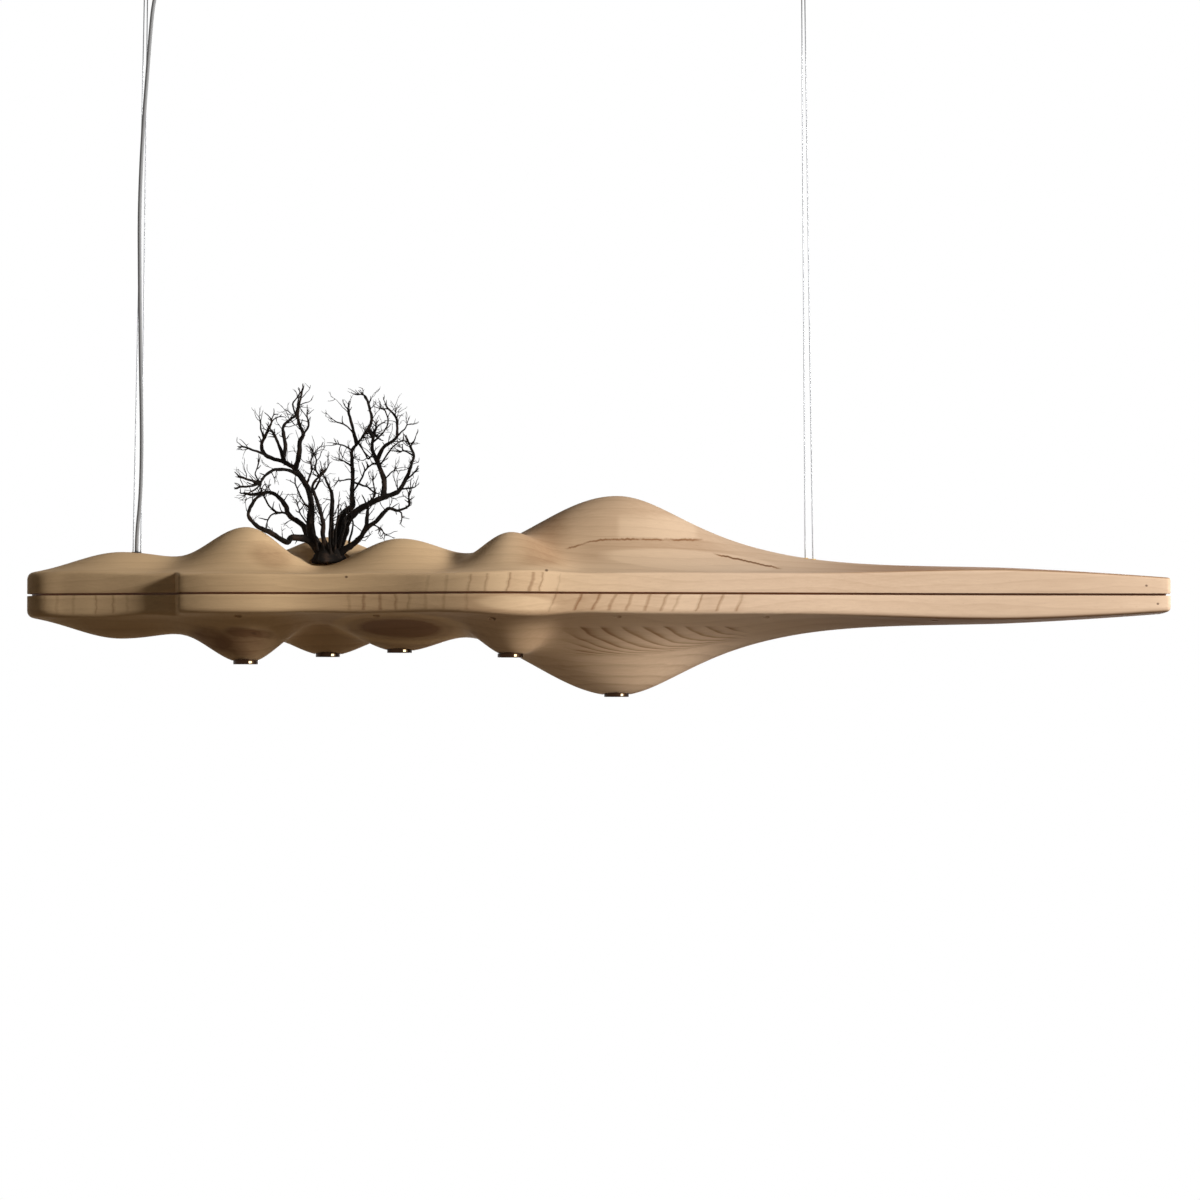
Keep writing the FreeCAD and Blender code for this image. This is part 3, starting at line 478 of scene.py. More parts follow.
def inset(loop, distance):
    """The outline moved inwards, point by point, by one distance or one for each point."""
    moved = []
    for index, each in enumerate(np.broadcast_to(distance, len(loop))):
        along = (loop[(index + 1) % len(loop)] - loop[index - 1]).normalized()
        moved.append(loop[index] + Vector((-along.y, along.x)) * float(each))
    return moved


def inner_points(loop, spacing):
    """Points of a triangular grid inside an outline, clear of its edge."""
    edge = np.array(loop)
    low = edge.min(0)
    high = edge.max(0)
    rows = np.arange(low[1], high[1], spacing * math.sqrt(3) / 2)
    found = []
    after = np.roll(edge, -1, 0)
    for number, y in enumerate(rows):
        x = np.arange(low[0] + (number % 2) * spacing / 2, high[0], spacing)
        crosses = (edge[:, 1] > y) != (after[:, 1] > y)
        slope = np.divide(after[:, 0] - edge[:, 0], after[:, 1] - edge[:, 1],
                          out=np.zeros(len(edge)), where=crosses)
        at = (edge[:, 0] + slope * (y - edge[:, 1]))[crosses]
        inside = (at[None, :] > x[:, None]).sum(1) % 2 == 1
        gaps = np.hypot(x[:, None] - edge[None, :, 0], y - edge[None, :, 1]).min(1)
        clear = gaps >= spacing * EDGE_CLEARANCE
        found += [Vector((each, y)) for each in x[inside & clear]]
    return found


def loop_edges(count, start=0):
    return [(start + index, start + (index + 1) % count) for index in range(count)]


def encloses(loop, point):
    """Whether a closed outline runs round a point."""
    inside = False
    for a, b in zip(loop, loop[1:] + loop[:1]):
        crosses = (a.y > point.y) != (b.y > point.y)
        if crosses and point.x < a.x + (b.x - a.x) * (point.y - a.y) / (b.y - a.y):
            inside = not inside
    return inside


def add_sheet(bm, loop, extra, height, mouth=()):
    """Triangles that fill a closed outline but for its mouth, at heights given by a function."""
    points = loop + list(mouth) + extra
    edges = loop_edges(len(loop)) + loop_edges(len(mouth), len(loop))
    flat, _, faces, _, _, _ = delaunay_2d_cdt(points, edges, [], ONLY_INSIDE, FILL_EXACTNESS)
    levels = height([point.x for point in flat], [point.y for point in flat])
    verts = [bm.verts.new((point.x, point.y, level)) for point, level in zip(flat, levels)]
    for face in faces:
        middle = sum((flat[corner] for corner in face), Vector((0, 0))) / len(face)
        if not (mouth and encloses(mouth, middle)):
            bm.faces.new([verts[corner] for corner in face])


def add_wall(bm, rings):
    """Quads between closed rings of places. Gives the rings of points."""
    made = [[bm.verts.new(place) for place in ring] for ring in rings]
    for lower, upper in zip(made, made[1:]):
        for index, after in loop_edges(len(lower)):
            bm.faces.new((lower[index], lower[after], upper[after], upper[index]))
    return made


def raised(loop, level):
    """The outline lifted to one level, or to one for each point."""
    levels = np.broadcast_to(level, len(loop))
    return [Vector((point.x, point.y, each)) for point, each in zip(loop, levels)]


def heights(loop):
    """The carved surface's height at each point of an outline."""
    return land([point.x for point in loop], [point.y for point in loop])


def carve(node, settings):
    """A half, hill side up, about the seam plane: carved top, sanded edge, band, seam face and hollow."""
    seam = (PLATE_HIGH.z - PLATE_LOW.z) / 2
    low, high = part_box(node)
    level = low.z if node == "upper_half" else high.z
    outline, hollow = seam_loops(node, level)[:2]
    edge = [Vector((min(max(point.x, low.x), high.x), min(max(point.y, low.y), high.y)))
            for point in smooth_loop(outline, settings.spacing * EDGE_SPACING)]
    mouth = smooth_loop(hollow, settings.spacing * MOUTH_SPACING)
    bm = bmesh.new()
    # The edge rolls from the carved top into the upright band, which eases again at the seam
    share = np.clip([(ROUND_END - point.x) / ROUND_END_OVER for point in edge], 0, 1)
    plain = settings.edge if node == "upper_half" else settings.low_edge
    roll = plain + (settings.end_edge - plain) * share
    rolled = inset(edge, roll)
    top = raised(rolled, heights(rolled))
    corner = raised(edge, heights(edge))
    shoulder = raised(edge, heights(edge) - roll)
    rings = []
    for step in range(ROLL_STEPS + 1):
        t = step / ROLL_STEPS
        rings.append([a * (1 - t) ** 2 + b * 2 * t * (1 - t) + c * t ** 2
                      for a, b, c in zip(top, corner, shoulder)])
    foot = raised(edge, seam + settings.ease)
    for step in range(1, BAND_STEPS + 1):
        rings.append([a.lerp(b, step / BAND_STEPS) for a, b in zip(shoulder, foot)])
    eased = inset(edge, settings.ease)
    rings.append([a.lerp(b, EASE_SHARE) for a, b in zip(raised(edge, seam), raised(eased, seam))])
    rings.append(raised(eased, seam))
    add_wall(bm, rings[::-1])
    add_sheet(bm, rolled, inner_points(rolled, settings.spacing), land)
    # The seam face and the hollow behind it
    add_sheet(bm, eased, [], lambda x, y: np.full(len(x), seam), mouth)
    add_wall(bm, [raised(mouth, seam), raised(mouth, heights(mouth) - WALL * MM)])
    inside = inner_points(mouth, settings.spacing * HOLLOW_SPACING)
    add_sheet(bm, mouth, inside, lambda x, y: land(x, y) - WALL * MM)
    bmesh.ops.remove_doubles(bm, verts=bm.verts, dist=WELD)
    bmesh.ops.recalc_face_normals(bm, faces=bm.faces)
    return bm


# Holes and seats, in metres
HOLE_SIDES = 48
FIT_GAP = 0.1 * MM
BUSHING_SEAT = 1.0 * MM     # how deep a bushing's flange is let into the wood
WIRE_BORE_R = 2.7 * MM
GROMMET_SEAT = 1.5 * MM
CORD_BORE_R = 4.5 * MM
SOCKET_SEAT = 0.6 * MM
BRANCH_SEAT_R = 27 * MM
RING_DROP = 5 * MM          # how far a trim ring stands below its flat
FLAT_MARGIN = 1.5 * MM      # flat wood round a trim ring
NECK_R = 13.9 * MM          # bore for a lamp's neck
SINK_ROOM_R = 18 * MM       # wider room for a heat sink
SINK_ROOM_FROM = 10 * MM    # from a lamp's flat up to that room
SINK_ROOM_TO = 20 * MM      # from the top of that room up to the seam
SCREW_HEAD = 3 * MM
COUNTERBORE_R = 4.75 * MM
SCREW_R = 2.1 * MM
BELOW_ALL = 10 * MM         # how far the cutters reach under the object
LAMPS = range(1, 6)


def cylinder_mesh(cylinders):
    """One mesh of upright cylinders: centre X and Y, lowest and highest level, radius."""
    bm = bmesh.new()
    for x, y, low, high, radius in cylinders:
        bmesh.ops.create_cone(bm, cap_ends=True, segments=HOLE_SIDES, radius1=radius, radius2=radius,
                              depth=high - low, matrix=Matrix.Translation((x, y, (low + high) / 2)))
    mesh = bpy.data.meshes.new("cutters")
    bm.to_mesh(mesh)
    bm.free()
    return mesh


def cut(piece, *passes):
    """Cuts upright cylinders out of a piece. Those of one pass don't touch each other."""
    for cylinders in passes:
        cutter = bpy.data.objects.new("cutters", cylinder_mesh(cylinders))
        bpy.context.scene.collection.objects.link(cutter)
        modifier = piece.modifiers.new("holes", "BOOLEAN")
        modifier.operation = "DIFFERENCE"
        modifier.solver = "EXACT"
        modifier.object = cutter
        graph = bpy.context.evaluated_depsgraph_get()
        mesh = bpy.data.meshes.new_from_object(piece.evaluated_get(graph))
        piece.modifiers.clear()
        piece.data = mesh
        bpy.data.objects.remove(cutter)


def centre_of(low, high):
    """X and Y of the middle between two corners."""
    return (low.x + high.x) / 2, (low.y + high.y) / 2


def upper_cuts():
    """Seats and holes in the upper half for what goes into it from above."""
    sky = CAD_BOX[1].z
    seats = []
    bores = []
    for low, high in solid_boxes("wire_bushings"):
        radius = (high.x - low.x) / 2 + FIT_GAP
        seats.append((*centre_of(low, high), high.z - BUSHING_SEAT, sky, radius))
        bores.append((*centre_of(low, high), SEAM_Z, sky, WIRE_BORE_R))
    low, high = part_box("cord_grommet")
    seats.append((*centre_of(low, high), high.z - GROMMET_SEAT, sky, (high.x - low.x) / 2 + FIT_GAP))
    bores.append((*centre_of(low, high), SEAM_Z, sky, CORD_BORE_R))
    low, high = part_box("branch_socket")
    seats.append((*centre_of(low, high), high.z - SOCKET_SEAT, sky, BRANCH_SEAT_R))
    bores.append((*centre_of(low, high), low.z, sky, (high.x - low.x) / 2 + FIT_GAP))
    return seats, bores


def lower_cuts():
    """Flats and bores for the lamps, room for their heat sinks, and holes for the joining screws."""
    ground = CAD_BOX[0].z - BELOW_ALL
    seats = []
    bores = []
    rooms = []
    for lamp in LAMPS:
        low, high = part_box(f"trim_ring_{lamp}")
        flat = low.z + RING_DROP
        seats.append((*centre_of(low, high), ground, flat, (high.x - low.x) / 2 + FLAT_MARGIN))
        bores.append((*centre_of(low, high), ground, SEAM_Z, NECK_R))
        rooms.append((*centre_of(low, high), flat + SINK_ROOM_FROM, SEAM_Z - SINK_ROOM_TO, SINK_ROOM_R))
    for low, high in solid_boxes("joining_screws"):
        seats.append((*centre_of(low, high), ground, low.z + SCREW_HEAD, COUNTERBORE_R))
        bores.append((*centre_of(low, high), ground, SEAM_Z, SCREW_R))
    return seats, bores, rooms


# Figure of the wood, with some painted light and shade. Lengths are in metres, heights from the seam.
FIGURES = {
    "upper_half": {"lean": 0.25, "wander": 0.05, "seed": 3.1},
    "lower_half": {"lean": -0.18, "wander": 0.06, "seed": 8.7},
}
# Small dark knots: X, height and radius
KNOTS = {
    "upper_half": [(-0.158, 0.0206, 0.0022), (0.098, 0.0285, 0.0024), (0.877, 0.0116, 0.002)],
    "lower_half": [(0.892, -0.012, 0.002)],
}
# Short growth lines across the edge: X of the first and the last, and how much they lean
EDGE_LINES = {
    "upper_half": [(-0.058, 0.114, -0.2)],
    "lower_half": [(-0.553, -0.44, 0.0), (-0.153, -0.004, 0.0), (0.100, 0.349, -0.45)],
}
EDGE_LINE_SPACING = 0.023
# Marks as seen from the front. A range is its two limits and their softness, an oval its centre, half its
# sizes and its tilt, and a width is the distance at which a line starts to fade and the one where it is gone.
CRACK_HEIGHT = 0.0715
CRACK_DIP = 0.011               # how far the crack sinks at its west end
CRACK_DIP_OVER = (0.122, 0.168)
CRACK_WIDTH = (0.0003, 0.0020)
CRACK_X = (0.124, 0.298, 0.006)
SPUR_HEIGHT = 0.1265            # where the spur would start at X of 0
SPUR_FALL = 0.233
SPUR_WIDTH = (0.0003, 0.0018)
SPUR_X = (0.320, 0.395, 0.010)
LENS = ((0.285, 0.0430), (0.118, 0.0150), 0.06)
STRIP_X = (0.140, 0.320, 0.030)
STRIP_FOOT = (0.036, 0.052)
PATCH_X = (0.190, 0.292, 0.005)
PATCH_TOP = (0.096, 0.110)
GREAT_X = (0.08, 0.40, 0.04)
GREAT_FOOT = (0.030, 0.045)
SADDLE_X = (0.062, 0.118, 0.02)
SADDLE_FOOT = (0.030, 0.040)
# Painted shade on the pine hill's right flank, below its small ridge
DUNE_SHADE = ((-0.262, 0.050), (0.034, 0.020), 0.25)
# Painted shade: X over which the level faces of the tail are darkened
TAIL_SHADE_X = (0.38, 0.62)
# Feathered growth lines under the great hill, and the level ones on its belly
FEATHER_X = (0.130, 0.350, 0.02)
FEATHER_TOP = 0.040             # below the seam
FEATHER_REACH = 0.042           # from there down to where the lines are level
FEATHER_SHRINK = 0.020          # how much less that is towards the tail
FEATHER_SHRINK_OVER = (0.20, 0.36)
FEATHER_SWEEP = 0.050
FEATHER_STEP = 0.027
FEATHER_TONES = [(0.0, 0.0), (0.05, 0.7), (0.12, 1.0), (0.35, 0.42), (0.7, 0.08), (1.0, 0.0)]
BELLY_X = (0.10, 0.36, 0.03)
BELLY_STEP = 0.013
BELLY_TONES = [(0.0, 0.0), (0.6, 0.1), (0.92, 1.0), (1.0, 0.0)]
EYE = ((-0.093, -0.0445), (0.061, 0.0130), 0.03)
# Painted highlight on the front lobe's edge: centre, half sizes and tilt
PAINTED_HIGHLIGHT = ((0.061, -0.0140), (0.062, 0.0115), 0.03)
SMOKE_TILT = 0.1
# Smoke curls under the pine hill, deepened as painted shade: centre, half sizes and tilt
SMOKE_AND_SHADE = [
    ((-0.343, -0.058), (0.030, 0.020), SMOKE_TILT),
    ((-0.297, -0.047), (0.024, 0.007), SMOKE_TILT),
    ((-0.271, -0.050), (0.017, 0.006), SMOKE_TILT),
    ((-0.297, -0.062), (0.036, 0.020), SMOKE_TILT),
]
MIDDLE_X = (-0.22, 0.15, 0.05)
# Tones across one growth layer, from one late growth line to the next
LAYER_TONES = [(0.0, 0.0), (0.35, 0.05), (0.75, 0.45), (0.92, 1.0), (0.985, 0.8), (1.0, 0.0)]
SHARP_EDGE = 30                 # a sharper edge of the carving, in degrees, isn't shaded smooth


def span(wood, value, low, high, soft):
    """1 between two limits, 0 outside them."""
    return wood.step(value, low - soft, low + soft) * (1 - wood.step(value, high - soft, high + soft))


def oval(x, height, centre, half, tilt=0.0):
    """Distance from the middle of an ellipse seen from the front, 1 at its edge."""
    along = (x - centre[0]) / half[0]
    across = (height - centre[1] + (x - centre[0]) * tilt) / half[1]
    return (along * along + across * across) ** 0.5


def line(wood, distance, width):
    """1 on a line, from the distance to it, and 0 beside it."""
    return 1 - wood.step(abs(distance), *width)


def edge_lines(wood, node, x, height):
    """Irregular short lines on the upright edge, where the growth layers come out."""
    upright = 1 - wood.step(wood.level(), 0.2, 0.45)
    bend = wood.noise(wood.join(x * 8, 0.0, height * 30), 3.0, 1.0, 0.5) - 0.5
    lines = 0
    for first, last, lean in EDGE_LINES[node]:
        along = (x + height * lean) / EDGE_LINE_SPACING + bend * 0.28
        cells = {"W": along, "Scale": 1.0}
        borders = {"voronoi_dimensions": "1D", "feature": "DISTANCE_TO_EDGE"}
        gap = wood.add("ShaderNodeTexVoronoi", borders, cells)
        tone = wood.split(wood.add("ShaderNodeTexVoronoi", {"voronoi_dimensions": "1D"}, cells, "Color"))[0]
        drawn = (1 - wood.step(gap, 0.02, 0.16)) * (0.35 + tone * 0.65) + (tone - 0.5) * 0.5
        lines = lines + drawn * span(wood, x, first, last, 0.012)
    return lines * upright


def knots(wood, node, x, height):
    """Small dark spots, a little wider than they are high."""
    spots = 0
    for centre_x, centre_height, radius in KNOTS[node]:
        distance = oval(x, height, (centre_x, centre_height), (radius, radius * 0.8))
        spots = spots + 1 - wood.step(distance, 0.5, 1.2)
    return spots


def upper_marks(wood, x, y, height, wobble):
    """Drying crack across the great hill with its spur, pale wood above and below it, darker flanks, and
    painted shade on the pine hill's right flank.
    """
    jag = wood.noise(wood.join(x, 0.0, 0.0), 70.0, 4.0, 0.7) - 0.5
    front = 1 - wood.step(y, 0.0, 0.03)
    strength = wood.step(wood.noise(wood.join(x, 0.0, 7.0), 38.0, 3.0, 0.6), 0.34, 0.62)
    dip = CRACK_DIP * (1 - wood.step(x, *CRACK_DIP_OVER))
    off = height - CRACK_HEIGHT + dip + wobble * 0.003 + jag * 0.007
    crack = line(wood, off, CRACK_WIDTH) * (0.2 + strength * 0.8) * span(wood, x, *CRACK_X)
    spur_off = height - SPUR_HEIGHT + x * SPUR_FALL + jag * 0.006
    spur = line(wood, spur_off, SPUR_WIDTH) * span(wood, x, *SPUR_X)
    # Pale lens below the crack, a darker strip between the two, and a pale patch above
    lens_at = oval(x, height + wobble * 0.001, *LENS)
    lens = 1 - wood.step(lens_at, 0.85, 1.0)
    strip = span(wood, x, *STRIP_X) * wood.step(height, *STRIP_FOOT) * (1 - wood.step(off, -0.002, 0.0))
    strip = strip * wood.step(lens_at, 0.95, 1.1)
    patch = span(wood, x, *PATCH_X) * wood.step(off, 0.001, 0.004) * (1 - wood.step(height, *PATCH_TOP))
    # Darker wood on the hills and in the saddle between them, and painted shade on the pine hill's flank
    hill = span(wood, x, *GREAT_X) * wood.step(height, *GREAT_FOOT)
    saddle = span(wood, x, *SADDLE_X) * wood.step(height, *SADDLE_FOOT)
    # Painted shade: a soft dark patch on the pine hill's right flank, below a small ridge.
    dune_shade = 1 - wood.step(oval(x, height + wobble * 0.003, *DUNE_SHADE), 0.4, 1.1)
    return (crack * 1.1 + spur * 1.6 + strip * 0.16 + hill * 0.14 + saddle * 0.45 + dune_shade * 0.4 - patch * 0.24
            - lens * 0.22) * front


def feathers(wood, x, height, wobble):
    """Curves under the great hill that sink from the edge and level out, and level lines below them."""
    depth = (height + FEATHER_TOP + wobble * 0.003) * -1
    reach = FEATHER_REACH - FEATHER_SHRINK * wood.step(x, *FEATHER_SHRINK_OVER)
    level = depth / reach
    left = 1 - level * span(wood, level, 0.0, 0.97, 0.01)
    start = x + left.math("LOGARITHM", left, math.e) * FEATHER_SWEEP
    curves = wood.ramp((start / FEATHER_STEP + wobble * 0.25) % 1.0, FEATHER_TONES)
    fade = 0.35 + wood.noise(wood.join(x * 12, 0.0, height * 12), 3.0)
    hill = span(wood, x, *FEATHER_X) * span(wood, level, 0.06, 0.96, 0.05)
    lines = wood.ramp((height / BELLY_STEP + wobble * 0.5) % 1.0, BELLY_TONES)
    belly = span(wood, x, *BELLY_X) * wood.step(level, 0.95, 1.15)
    return curves * fade * hill * 0.85 + lines * belly * 0.2


def eye_and_highlight(wood, x, height, wobble):
    """Dark oval with a pale rim under the round hill, and a painted highlight on the edge beside it, a pale
    oval where the front lobe catches the side light.
    """
    wavy = height + wobble * 0.002
    eye = oval(x, wavy, *EYE)
    core = 1 - wood.step(eye, 0.65, 1.0)
    rim = span(wood, eye, 1.15, 1.5, 0.12)
    # Painted highlight: the front lobe's edge is lightened where the side light falls on it most.
    pale = 1 - wood.step(oval(x, wavy, *PAINTED_HIGHLIGHT), 0.6, 1.0)
    return core * 0.9 - rim * 0.4 - pale * 0.4


def smoke_and_shade(wood, x, height):
    """Dark curls under the pine hill: the wood's figure, deepened as painted shade where the edge above
    shades the hill.
    """
    curl = wood.noise(wood.join(x * 30, 0.0, height * 55 + x * 22), 1.0, 3.0, 0.55)
    # Figure and painted shade: the curls are made dark enough to stand in for the shade under the edge.
    dark = 0
    for puff in SMOKE_AND_SHADE:
        dark = dark + (1 - wood.step(oval(x, height + curl * 0.004, *puff), 0.5, 1.2)) * (0.4 + curl)
    return dark * 0.7


def lower_marks(wood, x, y, height, wobble):
    """Feathers, the eye with a painted highlight beside it, smoke deepened as painted shade, and darker wood
    in the middle.
    """
    middle = span(wood, x, *MIDDLE_X) * 0.24
    return feathers(wood, x, height, wobble) + eye_and_highlight(wood, x, height, wobble) + smoke_and_shade(wood, x, height) + middle


def ash_finish(node, settings):
    """Ash with its growth layers, fibres and pores, and the marks of one half, with painted light and shade:
    a warmer west end and darker level faces towards the tail.
    """
    figure = FIGURES[node]
    wood = Finish(f"ash_{node}")
    place = wood.place()
    x, y, z = wood.split(place)
    height = z - SEAM_Z
    shifted = wood.add("ShaderNodeVectorMath", {"operation": "ADD"}, {0: place, 1: (figure["seed"], 0, 0)})
    wander = wood.noise(shifted, (2.6, 4.0, 2.0), 2.0, 0.45) - 0.5
    ripple = wood.noise(shifted, (9.0, 30.0, 30.0)) - 0.5
    layers = (height + y * figure["lean"] + wander * figure["wander"] * 2) / settings.layer + ripple * 0.35
    ring = wood.ramp(layers % 1.0, LAYER_TONES)
    fibre = wood.noise(place, (14.0, 420.0, 420.0), 3.0, 0.6)
    cloud = wood.noise(shifted, (3.0, 7.0, 7.0))
    marks = upper_marks if node == "upper_half" else lower_marks
    # Painted shade: level faces towards the tail are darkened, as grazing side light would leave them.
    tail = wood.step(x, *TAIL_SHADE_X) * wood.step(wood.level(), 0.35, 0.85) * 0.75
    share = (ring * 0.10 + (fibre - 0.5) * 0.32 + (cloud - 0.5) * 0.55 + 0.10 + tail
             + marks(wood, x, y, height, ripple * 2) + edge_lines(wood, node, x, height) * 0.55)
    pores = wood.step(wood.noise(place, (70.0, 1600.0, 1600.0)), 0.64, 0.74) * (1 - ring)
    # Painted light: towards the west end the pale wood turns to the warmer tint, standing in for warm light
    # there.
    light = wood.mix(wood.step(x, -0.15, 0.4), tuple(settings.painted_warm_light), tuple(settings.pale))
    base = wood.mix(share, light, tuple(settings.dark))
    base = wood.mix(pores * 0.25, base, tuple(settings.dark))
    # A share well above a full one, as in the cracks, goes on towards the colour of the knots
    base = wood.mix(wood.step(share, 1.2, 1.8) * 0.75, base, tuple(settings.knot))
    base = wood.mix(knots(wood, node, x, height) * 0.8, base, tuple(settings.knot))
    rough = 0.58 + fibre * 0.16 + ring * 0.05
    relief = wood.bump(fibre * 0.5 - pores, 0.12 * MM, 0.35)
    return wood.surface({"Base Color": base, "Roughness": rough, "Normal": relief,
                         "Specular IOR Level": 0.16})


class PENDANT_OT_carve_halves(bpy.types.Operator):
    """Carves the two hollow halves of ash, the upper range of hills and its reflection"""
    bl_idname = "pendant.carve_halves"
    bl_label = "Carve halves"

    def execute(self, context):
        settings = context.scene.pendant_ash
        for node, cuts in (("upper_half", upper_cuts()), ("lower_half", lower_cuts())):
            bm = carve(node, settings)
            if node == "lower_half":
                bmesh.ops.scale(bm, verts=bm.verts, vec=(1, 1, -1))
                bmesh.ops.reverse_faces(bm, faces=bm.faces)
            bmesh.ops.translate(bm, verts=bm.verts, vec=(0, 0, SEAM_Z))
            finish = ash_finish(node, settings)
            piece = piece_from(bm, f"carved_{node}", finish, "pendant", node)
            cut(piece, *cuts)
            shade(piece.data, SHARP_EDGE)
        return {"FINISHED"}


# Wires and the power cord

WIRE_D = 1.5 * MM
WIRE_STEPS = 8
WIRE_SIDES = 16
WIRE_STRANDS = 6
WIRES = ("west_wire_a", "west_wire_b", "tail_wire_a", "tail_wire_b")
CORD_D = 5 * MM
CORD_STEPS = 12     # points of the tube for each point of the route
CORD_SIDES = 24
# The cord's route in millimetres, from the ceiling cup down to just above the grommet
CORD_ROUTE = [(-416, 0, -54.3), (-424.5, -3, -92), (-428, -5.5, -132), (-431.8, -8, -190),
              (-436.2, -10.5, -255), (-439.3, -12, -318), (-440.9, -13, -385), (-440.2, -13.4, -450),
              (-439.4, -13.2, -520), (-438.2, -12.8, -590), (-437, -12.4, -650), (-436.8, -12.1, -704),
              (-438.4, -11.9, -756), (-443, -12, -800)]


def wire_finish(settings):
    """Bright steel rope: the strands wind round it."""
    steel = Finish("steel_rope")
    around_wire, along_wire, _ = steel.split(steel.add("ShaderNodeTexCoord", output="UV"))
    strand = (around_wire * WIRE_STRANDS + along_wire / settings.strand_lay * WIRE_STRANDS) % 1.0
    crown = 1 - abs(strand - 0.5) * 2
    top = steel.step(crown, 0.0, 0.45)
    # Painted shade: the grooves between the strands are darker than their crowns.
    base = steel.mix(top, srgb(126, 127, 129), tuple(settings.steel))
    relief = steel.bump(top, 0.15 * MM, 0.8)
    return steel.surface({"Base Color": base, "Metallic": 1.0, "Roughness": 0.42 - top * 0.1,
                          "Normal": relief})


def cord_finish(settings):
    """Matt moulded jacket with the faint marks of its extrusion."""
    jacket = Finish("cord_jacket")
    around_cord, along_cord, _ = jacket.split(jacket.add("ShaderNodeTexCoord", output="UV"))
    spot = jacket.join(around_cord * 3, along_cord * 120, 0.0)
    grain = jacket.noise(spot, 2.0, 3.0, 0.6)
    drawn = jacket.noise(jacket.join(around_cord * 24, along_cord * 4, 0.0), 1.0)
    base = jacket.mix(grain * 0.6 + drawn * 0.4, tuple(settings.jacket), dimmed(settings.jacket, 0.8))
    relief = jacket.bump(grain + drawn, 0.05 * MM, 0.4)
    return jacket.surface({"Base Color": base, "Roughness": 0.5 + grain * 0.15, "Normal": relief})


class PENDANT_OT_hang_wires(bpy.types.Operator):
    """Hangs the two pairs of steel wires"""
    bl_idname = "pendant.hang_wires"
    bl_label = "Hang wires"

    def execute(self, context):
        finish = wire_finish(context.scene.pendant_line)
        for node in WIRES:
            mesh = frame["nodes"][node].data
            low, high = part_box(node)
            ends = []
            for level in (high.z, low.z):
                ring = [vertex.co for vertex in mesh.vertices if abs(vertex.co.z - level) < WIRE_D]
                ends.append(sum(ring, Vector()) / len(ring))
            bm = bmesh.new()
            points = [ends[0].lerp(ends[1], step / WIRE_STEPS) for step in range(WIRE_STEPS + 1)]
            add_tube(bm, points, [WIRE_D / 2] * len(points), WIRE_SIDES)
            wire = piece_from(bm, f"rope_{node}", finish, "hanging_line", node)
            drop = ends[0].z - ends[1].z
            (drop - LIFT) / drop
            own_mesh(wire)
        return {"FINISHED"}


class PENDANT_OT_hang_cord(bpy.types.Operator):
    """Hangs the power cord beside the west wires"""
    bl_idname = "pendant.hang_cord"
    bl_label = "Hang power cord"

    def execute(self, context):
        low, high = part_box("cord_grommet")
        route = [Vector(place) * MM for place in CORD_ROUTE] + [Vector((*centre_of(low, high), high.z))]
        points = spline_points(route, CORD_STEPS)
        bm = bmesh.new()
        add_tube(bm, points, [CORD_D / 2] * len(points), CORD_SIDES)
        finish = cord_finish(context.scene.pendant_line)
        cord = piece_from(bm, "hanging_power_cord", finish, "hanging_line", "power_cord")
        drop = points[0].z - points[-1].z
        (drop - LIFT) / drop
        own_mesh(cord)
        return {"FINISHED"}


# Dried branch

